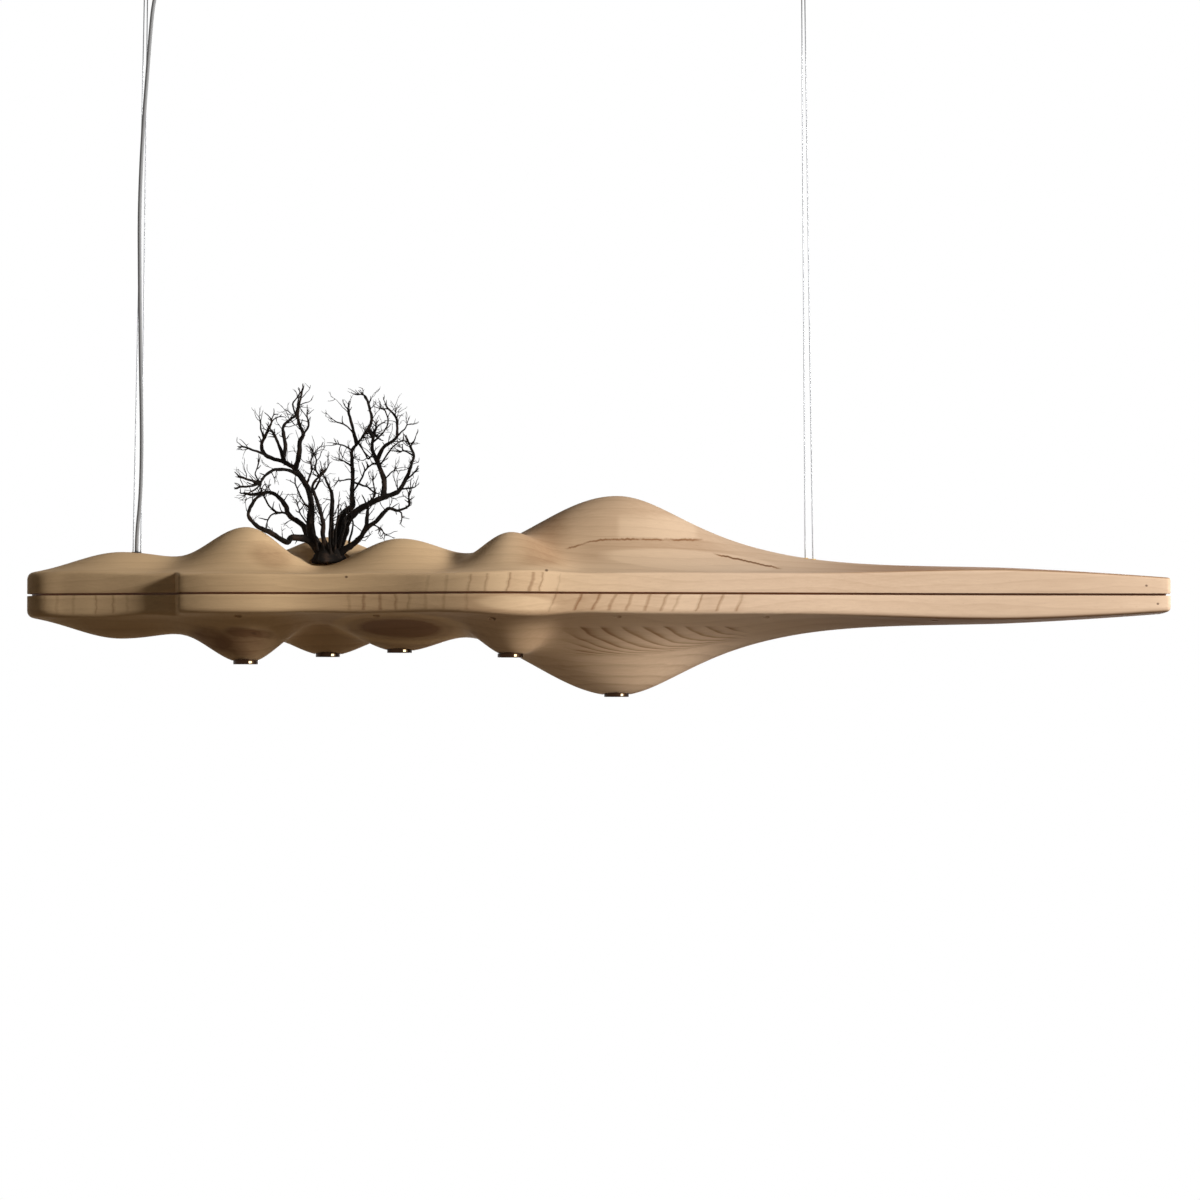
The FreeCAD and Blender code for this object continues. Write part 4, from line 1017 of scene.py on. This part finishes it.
# Limbs in millimetres from the branch's seat: thickness at the start and the end, then X, Y and Z
LIMBS = [
    (12.0, 3.4, [(-12, 0, 12), (-27, -3, 30), (-48, -8, 33), (-56, -10, 27), (-77, -14, 40), (-92, -17, 47),
                 (-104, -20, 62), (-97, -22, 80), (-89, -22, 87)]),
    (11.0, 3.2, [(-12, 2, 14), (-28, 8, 36), (-36, 13, 50), (-55, 18, 64), (-60, 20, 77), (-73, 25, 91),
                 (-86, 30, 95), (-104, 32, 92), (-117, 34, 94)]),
    (13.0, 3.2, [(-8, 0, 14), (-24, 0, 38), (-25, 1, 58), (-24, 2, 72), (-26, 4, 90), (-32, 5, 104),
                 (-46, 8, 124), (-60, 11, 133), (-86, 15, 143), (-91, 17, 157), (-86, 18, 170),
                 (-79, 18, 185)]),
    (6.5, 2.8, [(-60, 11, 133), (-65, 6, 149), (-69, 2, 161), (-74, -2, 172)]),
    (6.5, 2.6, [(-62, 10, 137), (-60, 18, 155), (-63, 24, 170), (-64, 28, 182), (-56, 31, 191),
                (-48, 33, 198), (-46, 34, 208)]),
    (8.0, 2.6, [(-46, 8, 124), (-40, -4, 140), (-38, -8, 159), (-34, -10, 169), (-39, -14, 183),
                (-40, -17, 195), (-37, -20, 212), (-33, -22, 229)]),
    (6.5, 2.8, [(-38, 6, 115), (-52, -6, 121), (-70, -14, 122), (-84, -18, 112), (-88, -20, 104)]),
    (8.5, 2.6, [(0, -4, 14), (-7, -14, 34), (-7, -20, 56), (-18, -26, 92), (-18, -30, 103),
                (-6, -34, 116)]),
    (8.0, 2.6, [(2, -4, 14), (4, -12, 60), (5, -18, 88), (0, -22, 102), (-4, -26, 112)]),
    (11.5, 2.8, [(4, 4, 14), (12, 9, 50), (18, 12, 66), (29, 16, 76), (28, 18, 92), (29, 20, 112),
                 (28, 22, 134), (28, 24, 150), (36, 26, 161), (44, 28, 172)]),
    (6.0, 2.6, [(34, 26, 158), (28, 32, 180), (23, 36, 198), (21, 38, 206)]),
    (13.0, 3.2, [(10, 0, 14), (20, 0, 40), (24, 0, 56), (36, -3, 68), (52, -6, 77), (66, -9, 84),
                 (78, -11, 88), (91, -14, 93), (100, -17, 106), (107, -20, 122), (112, -22, 139),
                 (108, -24, 152)]),
    (9.0, 3.2, [(72, -10, 86), (72, -4, 110), (63, 2, 133), (56, 6, 150), (57, 10, 167), (60, 12, 177)]),
    (6.5, 2.6, [(63, 2, 136), (70, -6, 150), (79, -10, 157), (89, -14, 165), (90, -17, 180), (88, -20, 192),
                (79, -22, 201)]),
    (6.0, 2.6, [(57, 8, 166), (51, 14, 177), (54, 18, 191), (51, 22, 205), (47, 25, 219), (41, 27, 225)]),
    (10.0, 3.2, [(12, -2, 12), (34, -10, 26), (44, -16, 36), (50, -20, 50), (52, -22, 65), (52, -22, 76)]),
    (7.5, 2.6, [(49, -19, 45), (64, -26, 54), (74, -30, 65), (82, -33, 70), (92, -36, 67), (107, -40, 73),
                (107, -42, 83)]),
]
# Finer side limbs, in the same way
SIDE_LIMBS = [
    (4.0, 2.2, [(-84, 15, 143), (-103, 12, 150), (-115, 9, 154)]),
    (2.8, 1.8, [(-88, 17, 165), (-93, 22, 178), (-94, 26, 189)]),
    (2.8, 1.6, [(-48, 33, 198), (-52, 36, 212), (-46, 38, 222)]),
    (3.4, 2.4, [(-35, -9, 168), (-27, -12, 178), (-27, -14, 188)]),
    (2.8, 3.0, [(-87, -19, 104), (-102, -22, 108), (-116, -24, 112)]),
    (2.6, 3.0, [(-87, -20, 103), (-104, -25, 99), (-115, -28, 98)]),
    (2.6, 1.8, [(-88, -20, 102), (-97, -26, 94), (-107, -30, 88)]),
    (2.4, 1.6, [(-88, -20, 104), (-96, -16, 116), (-92, -12, 130)]),
    (3.8, 2.4, [(-46, 15, 57), (-58, 10, 66), (-69, 4, 67), (-80, -2, 76), (-85, -6, 87)]),
    (2.6, 1.8, [(-69, 4, 67), (-78, 2, 62), (-82, 0, 54)]),
    (3.4, 2.2, [(-14, -8, 16), (-18, -12, 40), (-20, -14, 60)]),
    (3.4, 2.2, [(-6, -10, 14), (-8, -14, 38), (-7, -16, 60)]),
    (3.2, 2.0, [(3, -12, 12), (2, -16, 36), (4, -18, 56)]),
    (3.2, 2.0, [(8, -10, 12), (10, -14, 40), (13, -16, 66)]),
    (3.2, 2.0, [(14, -8, 20), (20, -12, 42), (23, -14, 62)]),
    (3.2, 1.8, [(-25, 2, 92), (-16, -6, 101), (-12, -10, 112), (-17, -14, 122), (-16, -16, 133),
                (-18, -18, 142)]),
    (2.4, 1.6, [(-12, -10, 112), (-5, -12, 119), (-1, -14, 126)]),
    (2.8, 1.8, [(-31, 5, 104), (-24, 0, 120), (-24, -4, 134), (-21, -6, 143)]),
    (2.8, 1.8, [(-25, 1, 70), (-36, -4, 84), (-44, -8, 104)]),
    (2.6, 1.6, [(-24, 0, 46), (-36, -8, 62), (-40, -12, 74)]),
    (2.8, 1.7, [(30, 29, 172), (20, 26, 183), (7, 24, 188)]),
    (2.8, 1.8, [(28, 22, 128), (20, 16, 134), (13, 12, 137)]),
    (2.4, 1.6, [(29, 20, 112), (19, 14, 110), (10, 10, 109)]),
    (2.4, 1.6, [(28, 24, 150), (18, 20, 156), (9, 18, 158)]),
    (3.0, 2.2, [(29, 20, 108), (40, 14, 104), (50, 8, 100), (60, 0, 92)]),
    (2.8, 2.0, [(28, 18, 92), (40, 14, 110), (46, 10, 122), (56, 6, 131), (64, 2, 130)]),
    (2.8, 2.0, [(36, 26, 160), (44, 20, 148), (50, 14, 138), (58, 5, 146)]),
    (3.8, 3.2, [(43, 28, 171), (50, 22, 178), (57, 12, 170)]),
    (2.8, 1.8, [(57, 9, 160), (70, 4, 172), (77, 0, 186), (74, -4, 200)]),
    (2.6, 1.7, [(88, -14, 165), (97, -18, 172), (104, -20, 180)]),
    (2.8, 2.0, [(100, -17, 106), (109, -22, 114), (115, -26, 119)]),
    (2.6, 1.6, [(111, -22, 140), (102, -18, 146), (94, -16, 146)]),
    (2.6, 1.7, [(94, -15, 96), (106, -20, 97), (114, -22, 99)]),
    (2.4, 1.4, [(66, 0, 128), (82, -6, 150), (96, -10, 160), (108, -14, 157)]),
    (2.2, 1.4, [(72, -5, 108), (80, -9, 117), (86, -12, 121)]),
    (2.6, 1.8, [(90, -35, 68), (97, -38, 64), (98, -40, 58)]),
    (2.6, 1.6, [(44, -16, 34), (58, -22, 48), (66, -26, 46), (75, -30, 37)]),
    (3.0, 2.0, [(26, -6, 26), (32, -10, 50), (29, -12, 66)]),
    (2.6, 1.6, [(57, -7, 80), (60, -12, 96), (58, -15, 108)]),
]
# Stump in millimetres: height, then the radius along X and along Y
STUMP = [(-0.4, 23.5, 20), (1.5, 25, 21.5), (4, 24, 20), (7, 22, 17.5), (11, 20, 15), (15, 17.5, 13),
         (20, 14, 11), (27, 11, 9)]
STUMP_SIDES = 56
STUMP_LOBES = 7
LOBE_DEPTH = 0.24           # of the stump's radius, at its foot
LOBES_END = 40              # height at which the lobes would have run out
PEG_R = 3.85 * MM
PEG_SIDES = 20
PEG_OVERLAP = 4 * MM        # how far the peg reaches up into the stump
BARK_SHARP_EDGE = 60        # degrees
LIMB_STEPS = 6              # points of the tube for each point of a limb
LIMB_SIDES = 10
LIMB_TAPER = 0.7            # power of the taper: below 1, a limb thins early
TWIG_ROOM = 6 * MM          # how far twigs may reach beyond the CAD branch
TWIG_SIDES = 6
TWIG_STEP = 4 * MM
TWIG_WANDER = 0.38          # shares of the way ahead that each step adds by chance and upwards
TWIG_LIFT = 0.10
TWIG_TAPER = 0.6
SPURS_FROM = 8              # points of a limb from its start that stay bare
SPUR_CHANCE = 0.24
SPUR_CHANCE_RISE = 0.30     # towards the limb's end
SHORT_SHARE = 0.55          # of the spurs are short
# Shortest and longest in millimetres, thickness, and number of forks
SHORT_SPUR = ((7, 14), 1.9 * MM, 0)
LONG_TWIG = ((16, 34), 1.3 * MM, 2)
END_SHOOT = (10, 22)        # shortest and longest
END_SHOOTS = 3


def branch_base():
    """Middle of the socket's top, on which the branch stands."""
    low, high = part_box("branch_socket")
    return Vector((*centre_of(low, high), high.z))


def grown(points, steps):
    """A limb's line, smooth through its points."""
    ends = [points[0] * 2 - points[1]] + points + [points[-1] * 2 - points[-2]]
    found = []
    for a, b, c, d in zip(ends, ends[1:], ends[2:], ends[3:]):
        for step in range(steps):
            t = step / steps
            found.append((b * 2 + (c - a) * t + (a * 2 - b * 5 + c * 4 - d) * t ** 2
                          + (b * 3 - a - c * 3 + d) * t ** 3) / 2)
    return found + [points[-1]]


def waver(place):
    """Smooth noise along each axis, from -1 to 1."""
    return Vector([noise.noise(place + UP * far) for far in (0, 17.3, 41.9)])


def random_way(chance):
    """A direction drawn by chance."""
    return Vector((chance.gauss(0, 1), chance.gauss(0, 1), chance.gauss(0, 1))).normalized()


def add_twig(bm, chance, start, way, reach, thick, forks, room):
    """A twig that wanders upwards as it grows, and forks."""
    steps = max(3, round(reach / TWIG_STEP))
    points = [start]
    for step in range(steps):
        way = (way + random_way(chance) * TWIG_WANDER + UP * TWIG_LIFT).normalized()
        ahead = points[-1] + way * reach / steps
        if any(not low < part < high for low, part, high in zip(room[0], ahead, room[1])):
            break
        points.append(ahead)
    if len(points) < 3:
        return
    radii = [thick / 2 * (1 - TWIG_TAPER * index / (len(points) - 1)) * chance.uniform(0.85, 1.2)
             for index in range(len(points))]
    add_tube(bm, points, radii, TWIG_SIDES)
    for fork in range(forks):
        place = chance.randrange(1, len(points))
        turn = (way + random_way(chance) * 0.9).normalized()
        shorter = reach * chance.uniform(0.35, 0.6)
        add_twig(bm, chance, points[place], turn, shorter, thick * 0.7, forks - 1, room)


def bark_finish(settings):
    """Wrinkled black bark, browner where it has rubbed off."""
    bark = Finish("dry_bark")
    place = bark.place()
    wrinkle = bark.noise(place, 900.0, 4.0, 0.65)
    patch = bark.noise(place, 90.0, 3.0, 0.55)
    worn = bark.step(patch + wrinkle * 0.3, 0.62, 0.85)
    base = bark.mix(worn, tuple(settings.bark), tuple(settings.worn))
    relief = bark.bump(wrinkle + patch, 0.5 * MM, 0.7)
    return bark.surface({"Base Color": base, "Roughness": 0.92 - worn * 0.2, "Normal": relief,
                         "Specular IOR Level": 0.2})


class PENDANT_OT_grow_branch(bpy.types.Operator):
    """Grows the black dried branch with its spurs and fine twigs"""
    bl_idname = "pendant.grow_branch"
    bl_label = "Grow branch"

    def execute(self, context):
        settings = context.scene.pendant_branch
        chance = random.Random(settings.seed)
        base = branch_base()
        low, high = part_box("dried_branch")
        spare = Vector((TWIG_ROOM, TWIG_ROOM, TWIG_ROOM))
        room = (low - spare, high + spare)
        bm = bmesh.new()
        for first, last, places in LIMBS + SIDE_LIMBS:
            limb = grown([base + Vector(place) * MM for place in places], LIMB_STEPS)
            radii = []
            for index, point in enumerate(limb):
                share = index / (len(limb) - 1)
                knobs = noise.noise(point * 110) * 0.22 + noise.noise(point * 330) * 0.12
                radii.append((first + (last - first) * share ** LIMB_TAPER) / 2 * MM * (1 + knobs))
                limb[index] = point + waver(point * 160) * 0.8 * MM * min(1, share * 4)
            add_tube(bm, limb, radii, LIMB_SIDES)
            self.add_spurs(bm, chance, limb, radii, room)
        self.add_stump(bm, base)
        finish = bark_finish(settings)
        branch = piece_from(bm, "grown_branch", finish, "branch", "dried_branch")
        shade(branch.data, BARK_SHARP_EDGE)
        return {"FINISHED"}

    def add_spurs(self, bm, chance, limb, radii, room):
        """Short spurs and finer, longer twigs, more of them towards a limb's end, and shoots at the end."""
        for index in range(SPURS_FROM, len(limb) - 1):
            share = index / len(limb)
            if chance.random() > SPUR_CHANCE + SPUR_CHANCE_RISE * share:
                continue
            along = (limb[index + 1] - limb[index - 1]).normalized()
            across = random_way(chance)
            across = (across - along * across.dot(along)).normalized()
            way = (along * 0.6 + across + UP * 0.2).normalized()
            lengths, thick, forks = SHORT_SPUR if chance.random() < SHORT_SHARE else LONG_TWIG
            add_twig(bm, chance, limb[index], way, chance.uniform(*lengths) * MM, thick, forks, room)
        along = (limb[-1] - limb[-3]).normalized()
        for shoot in range(END_SHOOTS):
            way = (along + random_way(chance) * 0.7).normalized()
            add_twig(bm, chance, limb[-1], way, chance.uniform(*END_SHOOT) * MM, radii[-1] * 1.6, 1, room)

    def add_stump(self, bm, base):
        """Gnarled foot that spreads over its seat and stands on a peg."""
        rings = []
        for level, wide, deep in STUMP:
            ring = []
            for corner in range(STUMP_SIDES):
                turn = 2 * math.pi * corner / STUMP_SIDES
                groove = 0.5 - 0.5 * math.cos(turn * STUMP_LOBES + 1.5 * math.sin(turn * 2) + level * 0.05)
                knotty = noise.noise(Vector((math.cos(turn), math.sin(turn), level * 0.12)) * 3)
                lobes = 1 - LOBE_DEPTH * groove * (1 - level / LOBES_END) + 0.05 * knotty
                ring.append(base + Vector((wide * math.cos(turn), deep * math.sin(turn), 0)) * MM * lobes
                            + UP * level * MM)
            rings.append(ring)
        made = add_wall(bm, rings)
        bm.faces.new(made[-1])
        bm.faces.new(made[0][::-1])
        foot = Vector((base.x, base.y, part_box("dried_branch")[0].z))
        add_tube(bm, [foot, base + UP * PEG_OVERLAP], [PEG_R] * 2, PEG_SIDES)


# Finishes of the CAD pieces

# Metals: colour, roughness, scale of the brushing along each axis per metre, share of the colour where dulled
METALS = {
    "bronzed_ring": (srgb(58, 40, 28), 0.42, (300.0, 300.0, 1500.0), 0.6),
    "turned_aluminium": (srgb(186, 188, 190), 0.4, (120.0, 120.0, 3000.0), 0.85),
    "turned_steel": (srgb(190, 190, 191), 0.34, (90.0, 90.0, 2600.0), 0.82),
    "browned_steel": (srgb(64, 54, 46), 0.5, (90.0, 90.0, 2600.0), 0.7),
    "strip_steel": (srgb(172, 173, 175), 0.45, (1400.0, 60.0, 200.0), 0.8),
    "turned_brass": (srgb(196, 160, 96), 0.32, (80.0, 80.0, 2400.0), 0.8),
    "browned_brass": (srgb(74, 54, 34), 0.5, (80.0, 80.0, 2400.0), 0.7),
}
# Plastic, rubber and paint: colour, roughness, scale of the grain per metre, depth of the grain. The mains
# lead's jacket has the power cord's colour.
MOULDINGS = {
    "satin_paint": (srgb(226, 226, 224), 0.38, 700.0, 0.04 * MM),
    "dark_lacquer": (srgb(142, 97, 62), 0.5, 900.0, 0.04 * MM),
    "white_moulding": (srgb(232, 231, 226), 0.5, 900.0, 0.06 * MM),
    "white_lead": (srgb(228, 227, 222), 0.55, 500.0, 0.05 * MM),
    "lead_jacket": (None, 0.55, 500.0, 0.05 * MM),
    "soft_rubber": (srgb(40, 40, 41), 0.75, 1200.0, 0.08 * MM),
}


def brushed_metal(name):
    """Metal with fine lines from its brushing or turning, and clouds where hands have dulled it."""
    tint, rough, scale, worn = METALS[name]
    metal = Finish(name)
    place = metal.place()
    lines = metal.noise(place, scale, 3.0, 0.6)
    dull = metal.noise(place, 60.0, 3.0, 0.5)
    base = metal.mix(lines * 0.5 + dull * 0.5, tint, dimmed(tint, worn))
    relief = metal.bump(lines, 0.05 * MM, 0.35)
    return metal.surface({"Base Color": base, "Metallic": 1.0, "Roughness": rough + dull * 0.18 - 0.09,
                          "Normal": relief})


def moulded(name, tint=None):
    """Plastic, rubber or paint with its fine grain, in its own colour or a given one."""
    own_tint, rough, grain, relief_depth = MOULDINGS[name]
    tint = tint or own_tint
    plastic = Finish(name)
    place = plastic.place()
    speck = plastic.noise(place, grain, 4.0, 0.65)
    cloud = plastic.noise(place, 45.0)
    base = plastic.mix(speck * 0.5 + cloud * 0.5, tint, dimmed(tint, 0.86))
    relief = plastic.bump(speck, relief_depth, 0.5)
    return plastic.surface({"Base Color": base, "Roughness": rough + speck * 0.12 - 0.06, "Normal": relief})


def lit_lens(settings):
    """Frosted lens with a warm glow, which the frost makes a little uneven."""
    lens = Finish("lit_lens")
    frost = lens.noise(lens.place(), 1400.0)
    glow = lens.mix(frost * 0.3, tuple(settings.glow), srgb(255, 206, 140))
    relief = lens.bump(frost, 0.1 * MM, 0.3)
    return lens.surface({"Base Color": srgb(240, 232, 214), "Roughness": 0.45, "Normal": relief,
                         "Emission Color": glow, "Emission Strength": settings.strength})


def led_board_finish():
    """White board with small yellow chips all over it."""
    board = Finish("led_board")
    place = board.place()
    speck = board.noise(place, 2600.0, 2.0, 0.6)
    field = board.add("ShaderNodeTexVoronoi", None, {"Vector": place, "Scale": 260.0})
    chip = 1 - board.step(field, 0.22, 0.3)
    base = board.mix(chip, srgb(238, 238, 232), srgb(236, 196, 70))
    base = board.mix(speck * 0.15, base, srgb(190, 190, 180))
    return board.surface({"Base Color": base, "Roughness": 0.4 + speck * 0.2})


def put_on(finish, *names):
    """Gives CAD pieces a finish."""
    for name in names:
        slots = frame["nodes"][name].data.materials
        slots.clear()
        slots.append(finish)


def numbered(name):
    """Names of one kind of piece at all lamps."""
    return [f"{name}_{lamp}" for lamp in LAMPS]


def both_ends(name):
    """Names of one kind of piece at the two ends."""
    return [f"{end}_{name}" for end in ("west", "tail")]


class PENDANT_OT_light_lamps(bpy.types.Operator):
    """Finishes the five lamps and lights their lenses"""
    bl_idname = "pendant.light_lamps"
    bl_label = "Light lamps"

    def execute(self, context):
        put_on(brushed_metal("bronzed_ring"), *numbered("trim_ring"))
        put_on(lit_lens(context.scene.pendant_lamps), *numbered("lens"))
        put_on(led_board_finish(), *numbered("led_board"))
        put_on(brushed_metal("turned_aluminium"), *numbered("heat_sink"))
        return {"FINISHED"}


class PENDANT_OT_finish_metalwork(bpy.types.Operator):
    """Finishes the ceiling fittings, the plate, the screws and the bushings"""
    bl_idname = "pendant.finish_metalwork"
    bl_label = "Finish metalwork"

    def execute(self, context):
        put_on(brushed_metal("turned_steel"),
               *both_ends("ball_seat"), *both_ends("ball_cap"), *both_ends("swivel_ball"),
               "wire_grub_screws", "wire_stops", "plate_screws", "driver_screws", "clamp_screws")
        put_on(brushed_metal("browned_steel"), "joining_screws")
        put_on(brushed_metal("strip_steel"), *both_ends("ceiling_bracket"))
        put_on(moulded("satin_paint"), *both_ends("ceiling_cup"))
        put_on(moulded("dark_lacquer"), "spine_plate")
        put_on(brushed_metal("turned_brass"), "wire_bushings", "threaded_inserts")
        put_on(brushed_metal("browned_brass"), "branch_socket")
        return {"FINISHED"}


class PENDANT_OT_finish_electrics(bpy.types.Operator):
    """Finishes the driver, the terminals, the leads and the rubber fittings"""
    bl_idname = "pendant.finish_electrics"
    bl_label = "Finish electrics"

    def execute(self, context):
        jacket = tuple(context.scene.pendant_line.jacket)
        put_on(moulded("white_moulding"), "led_driver", "wiring_block", "cord_clamp", "mains_terminal")
        put_on(moulded("white_lead"), "lamp_leads")
        put_on(moulded("lead_jacket", jacket), "mains_lead")
        put_on(moulded("soft_rubber"), "cord_grip", "cord_grommet")
        return {"FINISHED"}


# Stage

CAMERA_PLACE = (0.166, -4.0, -0.985)
CAMERA_TILT = 1.42          # degrees up from level
CAMERA_LENS = 91.1
FLOOR_Z = -2.4
FLOOR_R = 3.9
FLOOR_SIDES = 96
FLOOR_RIM = (1.2, FLOOR_R * 0.9)    # distances from the middle between which the floor turns white
FLOOR_GLOW = 0.7                    # share of the floor's white that no shadow darkens, up to that rim
BODY_MIDDLE = (0.1, 0, -0.88)
GREAT_BELLY = (0.24, -0.05, -0.97)
# Lights: setting for the power, place, aim, width and height, and spread in degrees
LIGHTS = {
    "side_softbox": ("key", (3.5, -1.97, 0.28), BODY_MIDDLE, 0.8, 0.7, 180),
    "back_softbox": ("back", (1.0, 4.2, -0.72), BODY_MIDDLE, 2.8, 1.5, 180),
    "low_card": ("low", (0.95, -1.35, -1.55), GREAT_BELLY, 0.3, 0.3, 20),
}


def add_light(name, watts, place, aim, wide, tall, spread):
    """Lamp with a rectangular face that is turned towards its aim."""
    light = bpy.data.lights.new(name, "AREA")
    light.shape = "RECTANGLE"
    light.size = wide
    light.size_y = tall
    light.energy = watts
    light.spread = math.radians(spread)
    holder = bpy.data.objects.new(name, light)
    holder.location = place
    holder.rotation_mode = "QUATERNION"
    holder.rotation_quaternion = (Vector(aim) - Vector(place)).to_track_quat("-Z", "Y")
    bpy.context.scene.collection.objects.link(holder)


def floor_finish(settings):
    """Pale floor with a white rim. It keeps a shadow, throws little light up, and is clear from below."""
    ground = Finish("pale_floor")
    place = ground.place()
    cloud = ground.noise(place, 1.5)
    pale = ground.mix(cloud * 0.15, tuple(settings.floor), srgb(225, 225, 225))
    shadowed = ground.add("ShaderNodeBsdfDiffuse", None, {"Color": pale})
    ends = {0: place, 1: (0, 0, FLOOR_Z)}
    distance = ground.add("ShaderNodeVectorMath", {"operation": "DISTANCE"}, ends, "Value")
    rim = ground.step(distance, *FLOOR_RIM)
    white = ground.add("ShaderNodeEmission", None, {"Color": ground.mix(rim, pale, WHITE), "Strength": 1.0})
    share = ground.looked_at() * (FLOOR_GLOW + rim * (1 - FLOOR_GLOW))
    seen = ground.add("ShaderNodeMixShader", None, {0: share, 1: shadowed, 2: white})
    bounced = ground.add("ShaderNodeBsdfDiffuse", None, {"Color": srgb(104, 88, 66)})
    is_bounce = ground.add("ShaderNodeLightPath", output="Is Diffuse Ray")
    both = ground.add("ShaderNodeMixShader", None, {0: is_bounce, 1: seen, 2: bounced})
    clear = ground.add("ShaderNodeBsdfTransparent")
    behind = ground.add("ShaderNodeNewGeometry", output="Backfacing")
    shown = ground.add("ShaderNodeMixShader", None, {0: behind, 1: both, 2: clear})
    ground.add("ShaderNodeOutputMaterial", None, {"Surface": shown})
    return ground.owner


def room_finish(settings):
    """World that is white where it is looked at, and a dim, warm light from all round elsewhere."""
    room = Finish("white_room", "worlds")
    seen = room.looked_at()
    tint = room.mix(seen, tuple(settings.room), WHITE)
    levels = {"Value": seen, "To Min": settings.ambient, "To Max": 1.0}
    level = room.add("ShaderNodeMapRange", None, levels)
    light = room.add("ShaderNodeBackground", None, {"Color": tint, "Strength": level})
    room.add("ShaderNodeOutputWorld", None, {"Surface": light})
    return room.owner


class PENDANT_OT_set_stage(bpy.types.Operator):
    """Sets the floor, the lights, the white surroundings and the camera"""
    bl_idname = "pendant.set_stage"
    bl_label = "Set stage"

    def execute(self, context):
        settings = context.scene.pendant_stage
        self.add_floor(settings)
        context.scene.world = room_finish(settings)
        for name, (setting, *shape) in LIGHTS.items():
            add_light(name, getattr(settings, setting), *shape)
        camera = bpy.data.objects.new("camera", bpy.data.cameras.new("camera"))
        camera.data.lens = CAMERA_LENS
        camera.location = CAMERA_PLACE
        camera.rotation_euler = (math.radians(90 + CAMERA_TILT), 0, 0)
        context.scene.collection.objects.link(camera)
        context.scene.camera = camera
        context.scene.view_settings.view_transform = "Standard"
        return {"FINISHED"}

    def add_floor(self, settings):
        bm = bmesh.new()
        bmesh.ops.create_circle(bm, cap_ends=True, segments=FLOOR_SIDES, radius=FLOOR_R)
        bmesh.ops.translate(bm, verts=bm.verts, vec=(0, 0, FLOOR_Z))
        mesh = bpy.data.meshes.new("floor")
        bm.to_mesh(mesh)
        bm.free()
        mesh.materials.append(floor_finish(settings))
        floor = bpy.data.objects.new("floor", mesh)
        bpy.context.scene.collection.objects.link(floor)


class PENDANT_PT_sidebar(bpy.types.Panel):
    """Lists the steps that dress the pendant"""
    bl_idname = "PENDANT_PT_sidebar"
    bl_label = "Carved pendant light"
    bl_space_type = "VIEW_3D"
    bl_region_type = "UI"
    bl_category = "Pendant"

    def draw(self, context):
        for step in STEPS:
            self.layout.operator(step.bl_idname)
        for name, group in GROUPS.items():
            box = self.layout.box()
            for prop in group.__annotations__:
                box.prop(getattr(context.scene, name), prop)


GROUPS = {
    "pendant_ash": PendantAshSettings,
    "pendant_branch": PendantBranchSettings,
    "pendant_lamps": PendantLampSettings,
    "pendant_line": PendantLineSettings,
    "pendant_stage": PendantStageSettings,
}
STEPS = (PENDANT_OT_set_stage, PENDANT_OT_hang_wires, PENDANT_OT_hang_cord, PENDANT_OT_carve_halves,
         PENDANT_OT_grow_branch, PENDANT_OT_light_lamps, PENDANT_OT_finish_metalwork,
         PENDANT_OT_finish_electrics)


def register():
    for group in (*GROUPS.values(), *STEPS, PENDANT_PT_sidebar):
        bpy.utils.register_class(group)
    for name, group in GROUPS.items():
        setattr(bpy.types.Scene, name, PointerProperty(type=group))


def unregister():
    for name in GROUPS:
        delattr(bpy.types.Scene, name)
    for group in (PENDANT_PT_sidebar, *STEPS, *GROUPS.values()):
        bpy.utils.unregister_class(group)


def main():
    register()
    bpy.ops.pendant.set_stage()
    bpy.ops.pendant.hang_wires()
    bpy.ops.pendant.hang_cord()
    bpy.ops.pendant.carve_halves()
    bpy.ops.pendant.grow_branch()
    bpy.ops.pendant.light_lamps()
    bpy.ops.pendant.finish_metalwork()
    bpy.ops.pendant.finish_electrics()


if __name__ == "__main__":
    main()
